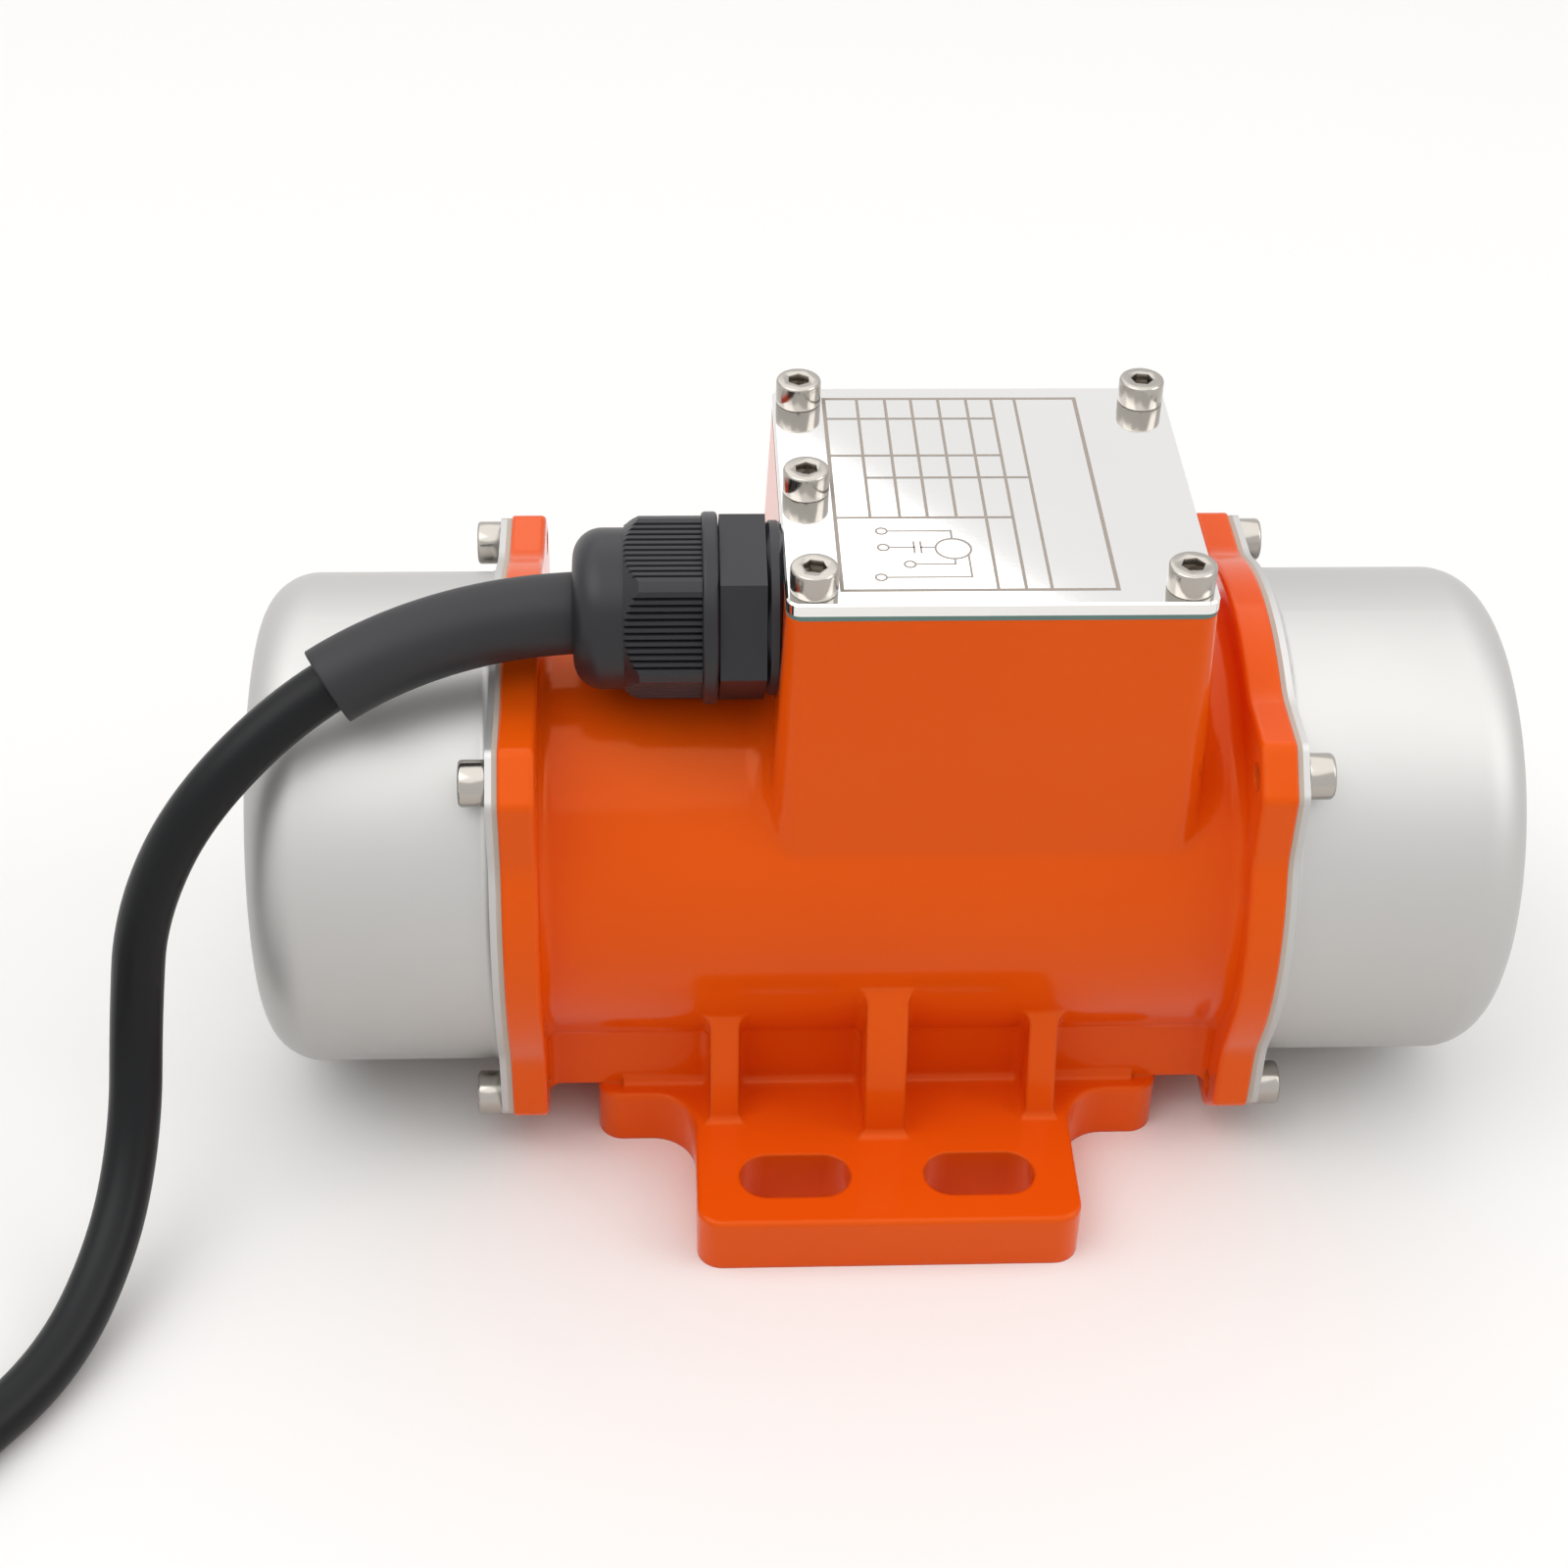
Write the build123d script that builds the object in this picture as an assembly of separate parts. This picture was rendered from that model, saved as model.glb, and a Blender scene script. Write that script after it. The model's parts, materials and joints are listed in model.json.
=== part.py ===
from build123d import *
import math
import os

os.makedirs("parts", exist_ok=True)

# Sizes are in millimetres. X runs along the shaft, Y is the depth and Z is up.
# The origin is on the mounting face of the feet, under the middle of the motor.

# Gaps between pieces that fit each other
fit_gap = 0.05
seat_gap = 0.03
hole_gap = 0.25

# Housing casting: barrel, end flanges and the skirt that stands on the base
shaft_height = 43.0
body_length = 117.8
barrel_radius = 36.0
bore_radius = 30.0
skirt_width = 57.5
flange_thickness = 5.5
flange_radius = 42.0
ear_half_width = 37.5
ear_reach = 48.75
ear_corner = 2.0
waist_blend = 10.0
flange_blend = 2.0

# Base: a spine under the barrel and a foot on each side of it
base_thickness = 10.0
spine_length = 91.2
spine_width = 63.4
foot_length = 60.0
foot_span = 120.0
foot_corner = 4.0
spine_blend = 7.0
slot_pitch_x = 29.0
slot_edge = 10.0
slot_length = 17.5
slot_width = 9.0
casting_blend = 1.6
casting_edge = 0.8
foot_cove_radius = 2.0

# Ribs that brace the skirt against the feet
rib_inset = 2.45
rib_width = 4.5
rib_reach = 38.0
rib_top_reach = 32.8
rib_top_drop = 13.0
middle_rib_width = 6.4
middle_rib_reach = 41.4
middle_rib_top_reach = 35.0
middle_rib_top_drop = 6.0
middle_rib_bulge = 1.4

# Terminal box cast on top of the barrel
box_flange_gap = 8.4
box_length = 62.0
box_width = 60.0
box_depth = 22.2
box_corner = 2.5
box_draft = 2.5
box_blend = 4.0
box_blend_share = 0.68
box_foot_gap = 0.4
box_wall = 4.0
gland_wall = 7.0
box_floor_cover = 1.0
boss_radius = 5.0
cover_inset = 4.0
cover_thickness = 2.0
cover_corner = 2.0
cover_gasket_thickness = 0.8
cover_edge = 0.3
wire_hole_radius = 4.0
wire_hole_inset = 1.25
wire_hole_shift = 0.5

# End caps of drawn sheet, held on the flange ears by four screws
cap_radius = 39.5
cap_depth = 38.9
cap_sheet = 1.0
cap_corner = 8.5
cap_dome = 1.0
cap_bend = 1.2
cap_gasket_thickness = 0.8
cap_gasket_bore = 38.0
cap_flange_inset = 0.4
cap_screw_circle = 45.0
cap_screw_length = 6.3
cover_screw_length = 12.0

# Screws: shank diameter to head diameter, head height and socket width across flats
screw_heads = {3.0: (5.5, 1.7, 2.0), 4.0: (7.0, 4.0, 3.0), 5.0: (8.5, 5.0, 4.0)}
cap_screw_size = 4.0
cover_screw_size = 4.0
shield_screw_size = 3.0
clamp_screw_size = 5.0

# Bearing shields and ball bearings
shield_radius = 37.0
shield_thickness = 4.0
shield_spigot = 3.0
shield_hub_radius = 21.5
shield_lip = 1.4
shield_lip_bore = 9.5
shield_screw_circle = 33.2
shield_screw_length = 10.0
bearing_outer_radius = 17.5
bearing_inner_radius = 7.5
bearing_width = 11.0
ball_radius = 2.9
ball_count = 8
race_land = 2.1
cage_thickness = 1.6
cage_width = 7.0

# Stator, winding, rotor and shaft
core_length = 40.0
stator_bore_radius = 17.0
slot_count = 16
slot_mouth = 2.2
slot_base = 6.0
slot_depth = 9.0
tooth_tip = 1.8
winding_reach = 14.0
winding_clear = 0.25
winding_round = 3.0
air_gap = 0.4
rotor_bars = 18
bar_width = 1.8
bar_depth = 4.2
bar_cover = 0.9
end_ring_length = 5.0
rotor_seat_radius = 9.6
journal_radius = 7.0
shaft_tail = 3.85

# Eccentric weights on the shaft ends: a keyed one and an adjustable one
weight_radius = 30.0
weight_thickness = 11.0
weight_hub_radius = 13.0
weight_corner = 2.0
inner_spacer_length = 4.5
inner_spacer_radius = 9.0
weight_washer_thickness = 1.0
weight_washer_radius = 11.0
key_width = 5.0
key_height = 5.0
key_depth = 3.0
key_length = 9.0
clamp_block_width = 24.0
clamp_block_height = 17.5
clamp_screw_height = 12.2
clamp_screw_length = 17.0
clamp_seat = 7.5
clamp_slit = 2.0
ring_thickness = 1.1
ring_groove_depth = 0.6
ring_height = 2.6
ring_opening = 70.0

# Cable gland in the left wall of the terminal box
gland_y = -12.3
gland_drop = 9.9
gland_flats = 25.0
gland_turn = 12.5
gland_thread_radius = 9.0
gland_washer_radius = 13.0
gland_washer_thickness = 2.4
gland_hex_length = 6.8
gland_sleeve_radius = 10.6
gland_sleeve_length = 11.0
gland_nut_gap = 0.2
gland_bore_radius = 6.5
gland_seal_radius = 9.1
gland_seal_length = 7.0
seal_offset = 1.0
nut_flange_radius = 14.3
nut_flange_length = 2.4
nut_grip_length = 11.4
nut_grip_radius = 14.0
nut_chamfer = 2.2
nut_dome_radius = 12.0
nut_dome_length = 7.6
nut_dome_round = 4.4
nut_mouth_radius = 7.2
nut_wall = 1.6
groove_count = 11
groove_pitch = 1.05
groove_depth = 0.45
groove_width = 0.6

# Parts inside the terminal box
block_length = 14.0
block_width = 24.0
block_height = 12.0
block_wall_gap = 1.5
block_lead_room = 8.0
pole_count = 3
pole_pitch = 7.0
pole_screw_radius = 2.0
pole_cup_depth = 3.0
capacitor_height = 15.0
capacitor_wall_gap = 2.0
capacitor_block_gap = 2.5
capacitor_gland_gap = 2.5
capacitor_screw_gap = 3.0
lead_radius = 1.1
ground_screw_gap = 1.5
ground_screw_y = 12.0
ground_screw_length = 6.0

# Supply cable, its rubber sleeve and the coil of its spare length on the floor
cable_radius = 4.0
sleeve_radius = 6.1
sleeve_bore = 4.15
sleeve_start = 4.0
sleeve_end = 66.0
coil_outer_turn = 46.0
coil_inner_turn = 38.0
coil_entry_angle = -36.9
coil_lead_in = 30.0
coil_top_sweep = 215.0
core_strip = 34.0
ferrule_length = 8.0
ferrule_radius = 0.9
core_fan = 1.5
core_gap = 0.4
cable_route = [
    (-20.0, -12.3, 92.3),
    (-38.0, -12.3, 92.3),
    (-62.5, -14.5, 91.9),
    (-84.5, -23.0, 87.0),
    (-103.0, -32.5, 73.0),
    (-112.6, -36.6, 55.0),
    (-115.2, -39.5, 36.5),
    (-115.9, -48.5, 20.9),
    (-118.6, -62.5, 9.8),
    (-125.0, -80.5, 4.0),
    (-137.6, -97.3, 4.0),
]

# Places that follow from the sizes above
body_half = body_length / 2
flange_inner = body_half - flange_thickness
cap_start = body_half + cap_gasket_thickness
cap_end = cap_start + cap_depth
rib_pitch = foot_length / 2 - rib_inset - rib_width / 2
slot_pitch_y = foot_span - 2 * slot_edge
box_floor = shaft_height + barrel_radius + box_floor_cover
box_top = box_floor + box_depth
box_right = flange_inner - box_flange_gap
box_offset = box_right - box_length / 2
box_left = box_right - box_length
cover_base = box_top + cover_gasket_thickness
cover_screw_reach = cover_screw_length - cover_thickness - cover_gasket_thickness
bearing_face = body_half - shield_lip
bearing_back = bearing_face - bearing_width
ball_circle = (bearing_outer_radius + bearing_inner_radius) / 2
stator_radius = bore_radius - fit_gap
rotor_radius = stator_bore_radius - air_gap
fixed_weight_start = bearing_face + inner_spacer_length
fixed_weight_end = fixed_weight_start + weight_thickness
loose_weight_start = fixed_weight_end + weight_washer_thickness
loose_weight_end = loose_weight_start + weight_thickness
ring_start = loose_weight_end + weight_washer_thickness
nut_start = box_left - gland_washer_thickness - gland_hex_length - gland_nut_gap
shaft_end = ring_start + ring_thickness + fit_gap + shaft_tail
gland_z = box_top - gland_drop
winding_radius = stator_bore_radius + tooth_tip + slot_depth
winding_end = core_length / 2 + winding_clear + winding_reach
wire_hole_x = winding_end - wire_hole_inset
block_x = wire_hole_x - block_lead_room - block_length / 2
block_y = -box_width / 2 + box_wall + block_wall_gap + block_width / 2
wire_hole_y = block_y + wire_hole_shift
ground_screw_radius = screw_heads[cap_screw_size][0] / 2
ground_screw_x = box_right - box_wall - ground_screw_gap - ground_screw_radius
capacitor_left = box_left + gland_wall + capacitor_gland_gap
capacitor_right = ground_screw_x - ground_screw_radius - capacitor_screw_gap
capacitor_front = block_y + block_width / 2 + capacitor_block_gap
capacitor_back = box_width / 2 - box_wall - capacitor_wall_gap
coil_middle_turn = (coil_outer_turn + coil_inner_turn) / 2
coil_turn_x = math.cos(math.radians(coil_entry_angle))
coil_turn_y = math.sin(math.radians(coil_entry_angle))
coil_x = cable_route[-1][0] + coil_lead_in * coil_turn_y - coil_outer_turn * coil_turn_x
coil_y = cable_route[-1][1] - coil_lead_in * coil_turn_x - coil_outer_turn * coil_turn_y
coil_top = cable_radius * (1 + math.sqrt(3))
coil_height = coil_top + cable_radius
core_rest = 2 * cable_radius + lead_radius + 0.1
ear_angles = (45, 135, 225, 315)

# Solids that stand on z = 0 or hang below it
upward = (Align.CENTER, Align.CENTER, Align.MIN)
downward = (Align.CENTER, Align.CENTER, Align.MAX)


def on_shaft_line(shape):
    return Pos(0, 0, shaft_height) * shape


def round_bar(radius, x_start, x_end):
    bar = extrude(Plane.YZ * Circle(radius), x_end - x_start)
    return Pos(x_start, 0, shaft_height) * bar


def round_tube(radius, bore, x_start, x_end):
    return round_bar(radius, x_start, x_end) - round_bar(bore, x_start - 1, x_end + 1)


def turned(points):
    outline = make_face(Polyline(*[(x, 0, radius) for x, radius in points], close=True))
    return on_shaft_line(revolve(outline, Axis.X))


def prism(outline, x_start, x_end):
    return Pos(x_start, 0, shaft_height) * extrude(Plane.YZ * outline, x_end - x_start)


def mirrored(shape):
    return mirror(shape, Plane.YZ)


def group(solids):
    return Compound(children=list(solids))


def polar(radius, angle):
    turn = math.radians(angle)
    return radius * math.cos(turn), radius * math.sin(turn)


# Screws stand on z = 0: the head is above and the shank below
def cap_head_screw(size, length):
    head_diameter, head_height, flats = screw_heads[size]
    head = Cylinder(head_diameter / 2, head_height, align=upward)
    head = chamfer(head.edges().group_by(Axis.Z)[-1], 0.1 * size)
    socket = extrude(RegularPolygon(flats / 2, 6, major_radius=False), head_height / 2 + 1)
    shank = Cylinder(size / 2, length, align=downward)
    shank = chamfer(shank.edges().group_by(Axis.Z)[0], 0.1 * size)
    return head - Pos(0, 0, head_height / 2) * socket + shank


def flat_head_screw(size, length):
    head_diameter, head_height, flats = screw_heads[size]
    head = Cone(size / 2, head_diameter / 2, head_height, align=downward)
    socket = extrude(RegularPolygon(flats / 2, 6, major_radius=False), head_height)
    shank = Cylinder(size / 2, length, align=downward)
    return head + shank - Pos(0, 0, -0.6 * head_height) * socket


def flat_head_sink(size, length):
    head_diameter, head_height, flats = screw_heads[size]
    sink_radius = head_diameter / 2 + fit_gap
    shank_radius = size / 2 + fit_gap
    sink = Cone(shank_radius, sink_radius, head_height, align=downward)
    hole = Cylinder(shank_radius, length, align=downward)
    return sink + hole


def ear_screw_places(x):
    places = []
    for angle in ear_angles:
        y, z = polar(cap_screw_circle, angle)
        places.append(Plane(origin=(x, y, shaft_height + z), z_dir=(1, 0, 0)).location)
    return places


def shield_screw_places(x):
    places = []
    for angle in ear_angles:
        y, z = polar(shield_screw_circle, angle - 45)
        places.append(Plane(origin=(x, y, shaft_height + z), z_dir=(1, 0, 0)).location)
    return places


def cover_screw_places(z):
    x_near = box_left + cover_inset
    x_far = box_right - cover_inset
    y_side = box_width / 2 - cover_inset
    spots = [(x_near, -y_side), (x_near, 0), (x_near, y_side), (x_far, -y_side), (x_far, y_side)]
    return [Location((x, y, z)) for x, y in spots]


# The lobed outline shared by the casting flange, the gasket and the cap's sheet flange
def flange_outline(inset=0.0):
    half = ear_half_width - inset
    disc_radius = flange_radius - inset
    ears = Rectangle(2 * half, 2 * half)
    ears = chamfer(ears.vertices(), 2 * half - (ear_reach - inset) * math.sqrt(2))
    outline = Circle(disc_radius) + ears
    tips = [v for v in outline.vertices() if math.hypot(v.X, v.Y) > disc_radius + 1]
    outline = fillet(tips, ear_corner)
    waists = [v for v in outline.vertices() if abs(math.hypot(v.X, v.Y) - disc_radius) < 0.01]
    return fillet(waists, waist_blend)


def base_plate():
    outline = Rectangle(spine_length, spine_width) + Rectangle(foot_length, foot_span)
    inner = []
    for v in outline.vertices():
        if abs(abs(v.X) - foot_length / 2) < 0.01 and abs(abs(v.Y) - spine_width / 2) < 0.01:
            inner.append(v)
    room = (spine_length - foot_length) / 2 - foot_corner
    outline = fillet(inner, min(spine_blend, 0.9 * room))
    outer = []
    for v in outline.vertices():
        if abs(abs(v.Y) - foot_span / 2) < 0.01 or abs(abs(v.X) - spine_length / 2) < 0.01:
            outer.append(v)
    outline = fillet(outer, foot_corner)
    plate = extrude(outline, base_thickness)
    plate = fillet(plate.edges().group_by(Axis.Z)[-1], casting_edge)
    core = Box(spine_length, spine_width - 2 * foot_corner, base_thickness)
    return plate + Pos(0, 0, base_thickness / 2) * core


def rib(width, reach, top_reach, top_drop, bulge):
    root = skirt_width / 2 - 2
    top_height = shaft_height - top_drop
    sunk = base_thickness - 1
    foot = (0, reach, base_thickness)
    top = (0, top_reach, top_height)
    back = Polyline(top, (0, root, top_height + 4), (0, root, sunk), (0, reach, sunk), foot)
    if bulge:
        middle = (0, (reach + top_reach) / 2 + bulge, (base_thickness + top_height) / 2)
        front = ThreePointArc(foot, middle, top)
    else:
        front = Line(foot, top)
    return extrude(make_face([front] + list(back.edges())), width / 2, both=True)


def terminal_tower():
    roof = Plane(origin=(box_offset, 0, box_top), z_dir=(0, 0, -1))
    depth = box_top - shaft_height
    room = barrel_radius - box_foot_gap - box_width / 2
    draft = min(box_draft, math.degrees(math.atan(room / depth)))
    return extrude(roof * RectangleRounded(box_length, box_width, box_corner), depth, taper=-draft)


def cavity_outline():
    left = box_left + gland_wall
    right = box_right - box_wall
    outline = Pos((left + right) / 2, 0) * Rectangle(right - left, box_width - 2 * box_wall)
    for place in cover_screw_places(0):
        if abs(place.position.Y) > 1:
            outline -= Pos(place.position.X, place.position.Y) * Circle(boss_radius)
    return outline


def casting_seams(body):
    # edges where the ribs, the skirt and the foot plate run into each other
    rib_sides = []
    for x, width in ((-rib_pitch, rib_width), (0, middle_rib_width), (rib_pitch, rib_width)):
        rib_sides += [x - width / 2, x + width / 2]
    seams = []
    for edge in body.edges():
        middle = edge @ 0.5
        box = edge.bounding_box()
        in_reach = skirt_width / 2 - 0.01 < abs(middle.Y) < middle_rib_reach + 0.05
        if not in_reach or not base_thickness - 0.01 < middle.Z < shaft_height:
            continue
        on_barrel = abs(math.hypot(middle.Y, middle.Z - shaft_height) - barrel_radius) < 0.02
        on_plate = box.max.Z < base_thickness + 0.01
        on_skirt = abs(box.max.Y - box.min.Y) < 0.01 and abs(abs(middle.Y) - skirt_width / 2) < 0.01
        across = box.max.X - box.min.X > 0.01
        cove_top = base_thickness + foot_cove_radius
        in_cove = edge.geom_type == GeomType.CIRCLE and box.max.Z < cove_top + 0.01
        if not across and min(abs(middle.X - x) for x in rib_sides) < 0.01:
            if on_barrel or on_plate or on_skirt or in_cove:
                seams.append(edge)
        elif across and box.max.Z - box.min.Z < 0.01:
            between_ribs = abs(middle.X) < rib_pitch + rib_width / 2
            if on_barrel or between_ribs and (on_plate or on_skirt):
                seams.append(edge)
    return seams


def foot_cove():
    # the rounded corner between the foot plate and the skirt, from the outer rib to the end of the spine
    size = foot_cove_radius
    corner = Plane.YZ * Pos(skirt_width / 2 + size / 2, base_thickness + size / 2)
    hollow = Plane.YZ * Pos(skirt_width / 2 + size, base_thickness + size)
    wedge = corner * Rectangle(size, size) - hollow * Circle(size)
    start = rib_pitch
    return Pos(start, 0, 0) * extrude(wedge, spine_length / 2 - foot_corner - start)


def housing():
    barrel_end = flange_inner + flange_thickness / 2
    body = round_bar(barrel_radius, -barrel_end, barrel_end)
    skirt_height = shaft_height - base_thickness
    skirt = Box(2 * barrel_end, skirt_width, skirt_height)
    body += Pos(0, 0, base_thickness + skirt_height / 2) * skirt
    body += terminal_tower()
    seam = []
    for edge in body.edges():
        middle = edge @ 0.5
        reach = math.hypot(middle.Y, middle.Z - shaft_height)
        if abs(reach - barrel_radius) < 0.05 and box_left - 5 < middle.X < box_right + 5:
            if middle.Z > shaft_height + bore_radius / 2:
                seam.append(edge)
    wall_room = (barrel_radius - box_width / 2) * box_blend_share
    body = fillet(seam, min(box_blend, wall_room))
    flange = prism(flange_outline(), flange_inner, body_half)
    flange = fillet(flange.edges().group_by(Axis.X)[0], casting_edge)
    flange = fillet(flange.edges().group_by(Axis.X)[-1], cap_flange_inset)
    body += flange
    body += mirrored(flange)
    body += base_plate()
    for side in (0, 180):
        for x in (-rib_pitch, rib_pitch):
            brace = rib(rib_width, rib_reach, rib_top_reach, rib_top_drop, 0)
            body += Rot(0, 0, side) * Pos(x, 0, 0) * brace
        brace = rib(middle_rib_width, middle_rib_reach, middle_rib_top_reach, middle_rib_top_drop,
                    middle_rib_bulge)
        body += Rot(0, 0, side) * brace
    cove = foot_cove()
    for turn in (cove, mirrored(cove)):
        body += turn
        body += mirror(turn, Plane.XZ)
    seams = casting_seams(body)
    body = fillet(seams, casting_blend)
    roots = []
    for edge in body.edges():
        middle = edge @ 0.5
        box = edge.bounding_box()
        reach = math.hypot(middle.Y, middle.Z - shaft_height)
        if box.max.X - box.min.X < 0.01 and abs(abs(middle.X) - flange_inner) < 0.01:
            if reach < barrel_radius + 0.05 and middle.Z > base_thickness:
                roots.append(edge)
    body = fillet(roots, flange_blend)
    # inside: stator bore, shield seats, wiring cavity, and the holes
    body -= round_bar(bore_radius, -body_half - 1, body_half + 1)
    seat = round_bar(shield_radius + seat_gap, body_half - shield_thickness, body_half + 1)
    body -= seat
    body -= mirrored(seat)
    body -= Pos(0, 0, box_floor) * extrude(cavity_outline(), box_top - box_floor + 1)
    wire_hole = Cylinder(wire_hole_radius, box_top - shaft_height, align=upward)
    body -= Pos(wire_hole_x, wire_hole_y, shaft_height) * wire_hole
    thread = extrude(Plane.YZ * Circle(gland_thread_radius + fit_gap), gland_wall + 2)
    body -= Pos(box_left - 1, gland_y, gland_z) * thread
    body -= on_gland_line(Circle(gland_washer_radius + hole_gap), box_left, gland_wall)
    cover_hole = Cylinder(cover_screw_size / 2 + fit_gap, 2 * cover_screw_length)
    for place in cover_screw_places(box_top + cover_screw_length - cover_screw_reach - 1):
        body -= place * cover_hole
    ear_hole = Cylinder(cap_screw_size / 2 + fit_gap, 3 * flange_thickness)
    for place in ear_screw_places(flange_inner):
        body -= place * ear_hole
        body -= mirrored(place * ear_hole)
    shield_hole = Cylinder(shield_screw_size / 2 + fit_gap, 2 * shield_screw_length)
    for place in shield_screw_places(body_half):
        body -= place * shield_hole
        body -= mirrored(place * shield_hole)
    ground_hole = Cylinder(cap_screw_size / 2 + fit_gap, 2 * ground_screw_length)
    body -= Pos(ground_screw_x, ground_screw_y, box_floor) * ground_hole
    slot = extrude(SlotOverall(slot_length, slot_width), base_thickness + 2)
    for slot_place in GridLocations(slot_pitch_x, slot_pitch_y, 2, 2):
        body -= Pos(0, 0, -1) * (slot_place * slot)
    return body


def terminal_cover():
    outline = RectangleRounded(box_length, box_width, cover_corner)
    plate = extrude(Pos(box_offset, 0) * outline, cover_thickness)
    plate = chamfer(plate.edges().group_by(Axis.Z)[-1], cover_edge)
    hole = Cylinder(cover_screw_size / 2 + hole_gap, 3 * cover_thickness)
    for place in cover_screw_places(0):
        plate -= place * hole
    return Pos(0, 0, cover_base) * plate


def cover_gasket():
    rim = Pos(box_offset, 0) * RectangleRounded(box_length, box_width, box_corner) - cavity_outline()
    for place in cover_screw_places(0):
        rim -= Pos(place.position.X, place.position.Y) * Circle(cover_screw_size / 2 + hole_gap)
    return Pos(0, 0, box_top) * extrude(rim, cover_gasket_thickness)


def cap_shell(radius, start, end, corner):
    rim_end = end - cap_dome
    dome = ThreePointArc((rim_end, 0, radius), (end - cap_dome / 4, 0, radius / 2), (end, 0, 0))
    wall = Polyline((end, 0, 0), (start, 0, 0), (start, 0, radius), (rim_end, 0, radius))
    outline = make_face([dome] + list(wall.edges()))
    shell = revolve(outline, Axis.X)
    crown = [e for e in shell.edges() if abs((e @ 0.5).X - rim_end) < 0.01 and e.length > radius]
    return on_shaft_line(fillet(crown, corner))


def end_cap():
    cap = cap_shell(cap_radius, cap_start, cap_end, cap_corner)
    cap += prism(flange_outline(cap_flange_inset), cap_start, cap_start + cap_sheet)
    bend = []
    for edge in cap.edges():
        middle = edge @ 0.5
        reach = math.hypot(middle.Y, middle.Z - shaft_height)
        if abs(middle.X - cap_start - cap_sheet) < 0.01 and abs(reach - cap_radius) < 0.01:
            bend.append(edge)
    cap = fillet(bend, cap_bend)
    cap -= cap_shell(cap_radius - cap_sheet, cap_start - 1, cap_end - cap_sheet, cap_corner - cap_sheet)
    hole = Cylinder(cap_screw_size / 2 + hole_gap, 4 * cap_sheet)
    for place in ear_screw_places(cap_start):
        cap -= place * hole
    return cap


def cap_gasket():
    outline = flange_outline(cap_flange_inset) - Circle(cap_gasket_bore)
    for angle in ear_angles:
        outline -= Pos(*polar(cap_screw_circle, angle)) * Circle(cap_screw_size / 2 + hole_gap)
    return prism(outline, body_half, cap_start)


def bearing_shield():
    rim = shield_radius
    back = body_half - shield_thickness
    spigot_back = back - shield_spigot
    spigot_bore = bore_radius - fit_gap - shield_spigot
    shield = turned([
        (body_half, shield_lip_bore),
        (body_half, rim),
        (back, rim),
        (back, bore_radius - fit_gap),
        (spigot_back, bore_radius - fit_gap),
        (spigot_back, spigot_bore),
        (back, spigot_bore),
        (back, shield_hub_radius),
        (bearing_back, shield_hub_radius),
        (bearing_back, bearing_outer_radius + seat_gap),
        (bearing_face, bearing_outer_radius + seat_gap),
        (bearing_face, shield_lip_bore),
    ])
    for place in shield_screw_places(body_half):
        shield -= place * flat_head_sink(shield_screw_size, shield_screw_length)
    return shield


def race(radius_inner, radius_outer):
    ring = round_tube(radius_outer, radius_inner, bearing_back, bearing_face)
    groove = Torus(ball_circle, ball_radius + fit_gap)
    middle = (bearing_back + bearing_face) / 2
    return ring - Pos(middle, 0, shaft_height) * Rot(0, 90, 0) * groove


def ball_places():
    middle = (bearing_back + bearing_face) / 2
    places = []
    for index in range(ball_count):
        y, z = polar(ball_circle, 360 * index / ball_count)
        places.append(Pos(middle, y, shaft_height + z))
    return places


def bearing_balls():
    return group([place * Sphere(ball_radius) for place in ball_places()])


def bearing_cage():
    middle = (bearing_back + bearing_face) / 2
    inner = ball_circle - cage_thickness / 2
    outer = ball_circle + cage_thickness / 2
    cage = round_tube(outer, inner, middle - cage_width / 2, middle + cage_width / 2)
    for place in ball_places():
        cage -= place * Sphere(ball_radius + fit_gap)
    return cage


# One stator slot, and the coil side that lies in it, pointing along the sketch's X
def slot_shape(shrink=0.0):
    start = stator_bore_radius + tooth_tip
    end = start + slot_depth
    narrow = slot_base / 2 - slot_depth * math.tan(math.pi / slot_count) + 0.4
    outline = [
        (start + shrink, -narrow + shrink),
        (end - shrink, -slot_base / 2 + shrink),
        (end - shrink, slot_base / 2 - shrink),
        (start + shrink, narrow - shrink),
    ]
    return Polygon(*outline, align=None)


def stator_core():
    stack = Circle(stator_radius) - Circle(stator_bore_radius)
    mouth = Pos(stator_bore_radius, 0) * Rectangle(2 * tooth_tip + 1, slot_mouth)
    for index in range(slot_count):
        stack -= Rot(0, 0, 360 * index / slot_count) * (slot_shape() + mouth)
    return prism(stack, -core_length / 2, core_length / 2)


def stator_winding():
    start = core_length / 2 + winding_clear
    end = start + winding_reach
    inner = stator_bore_radius + tooth_tip
    outer = inner + slot_depth
    head = round_tube(outer, inner, start, end)
    head = fillet([e for e in head.edges() if abs((e @ 0.5).X - end) < 0.01], winding_round)
    winding = head + mirrored(head)
    for index in range(slot_count):
        side = Rot(0, 0, 360 * index / slot_count) * slot_shape(winding_clear)
        winding += prism(side, -start - 1, start + 1)
    return winding


def rotor_bar(shrink=0.0):
    middle = rotor_radius - bar_cover - bar_depth / 2
    return Pos(middle, 0) * Rectangle(bar_depth - 2 * shrink, bar_width - 2 * shrink)


def rotor_core():
    stack = Circle(rotor_radius) - Circle(rotor_seat_radius + seat_gap)
    for index in range(rotor_bars):
        stack -= Rot(0, 0, 360 * index / rotor_bars) * rotor_bar()
    return prism(stack, -core_length / 2, core_length / 2)


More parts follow.
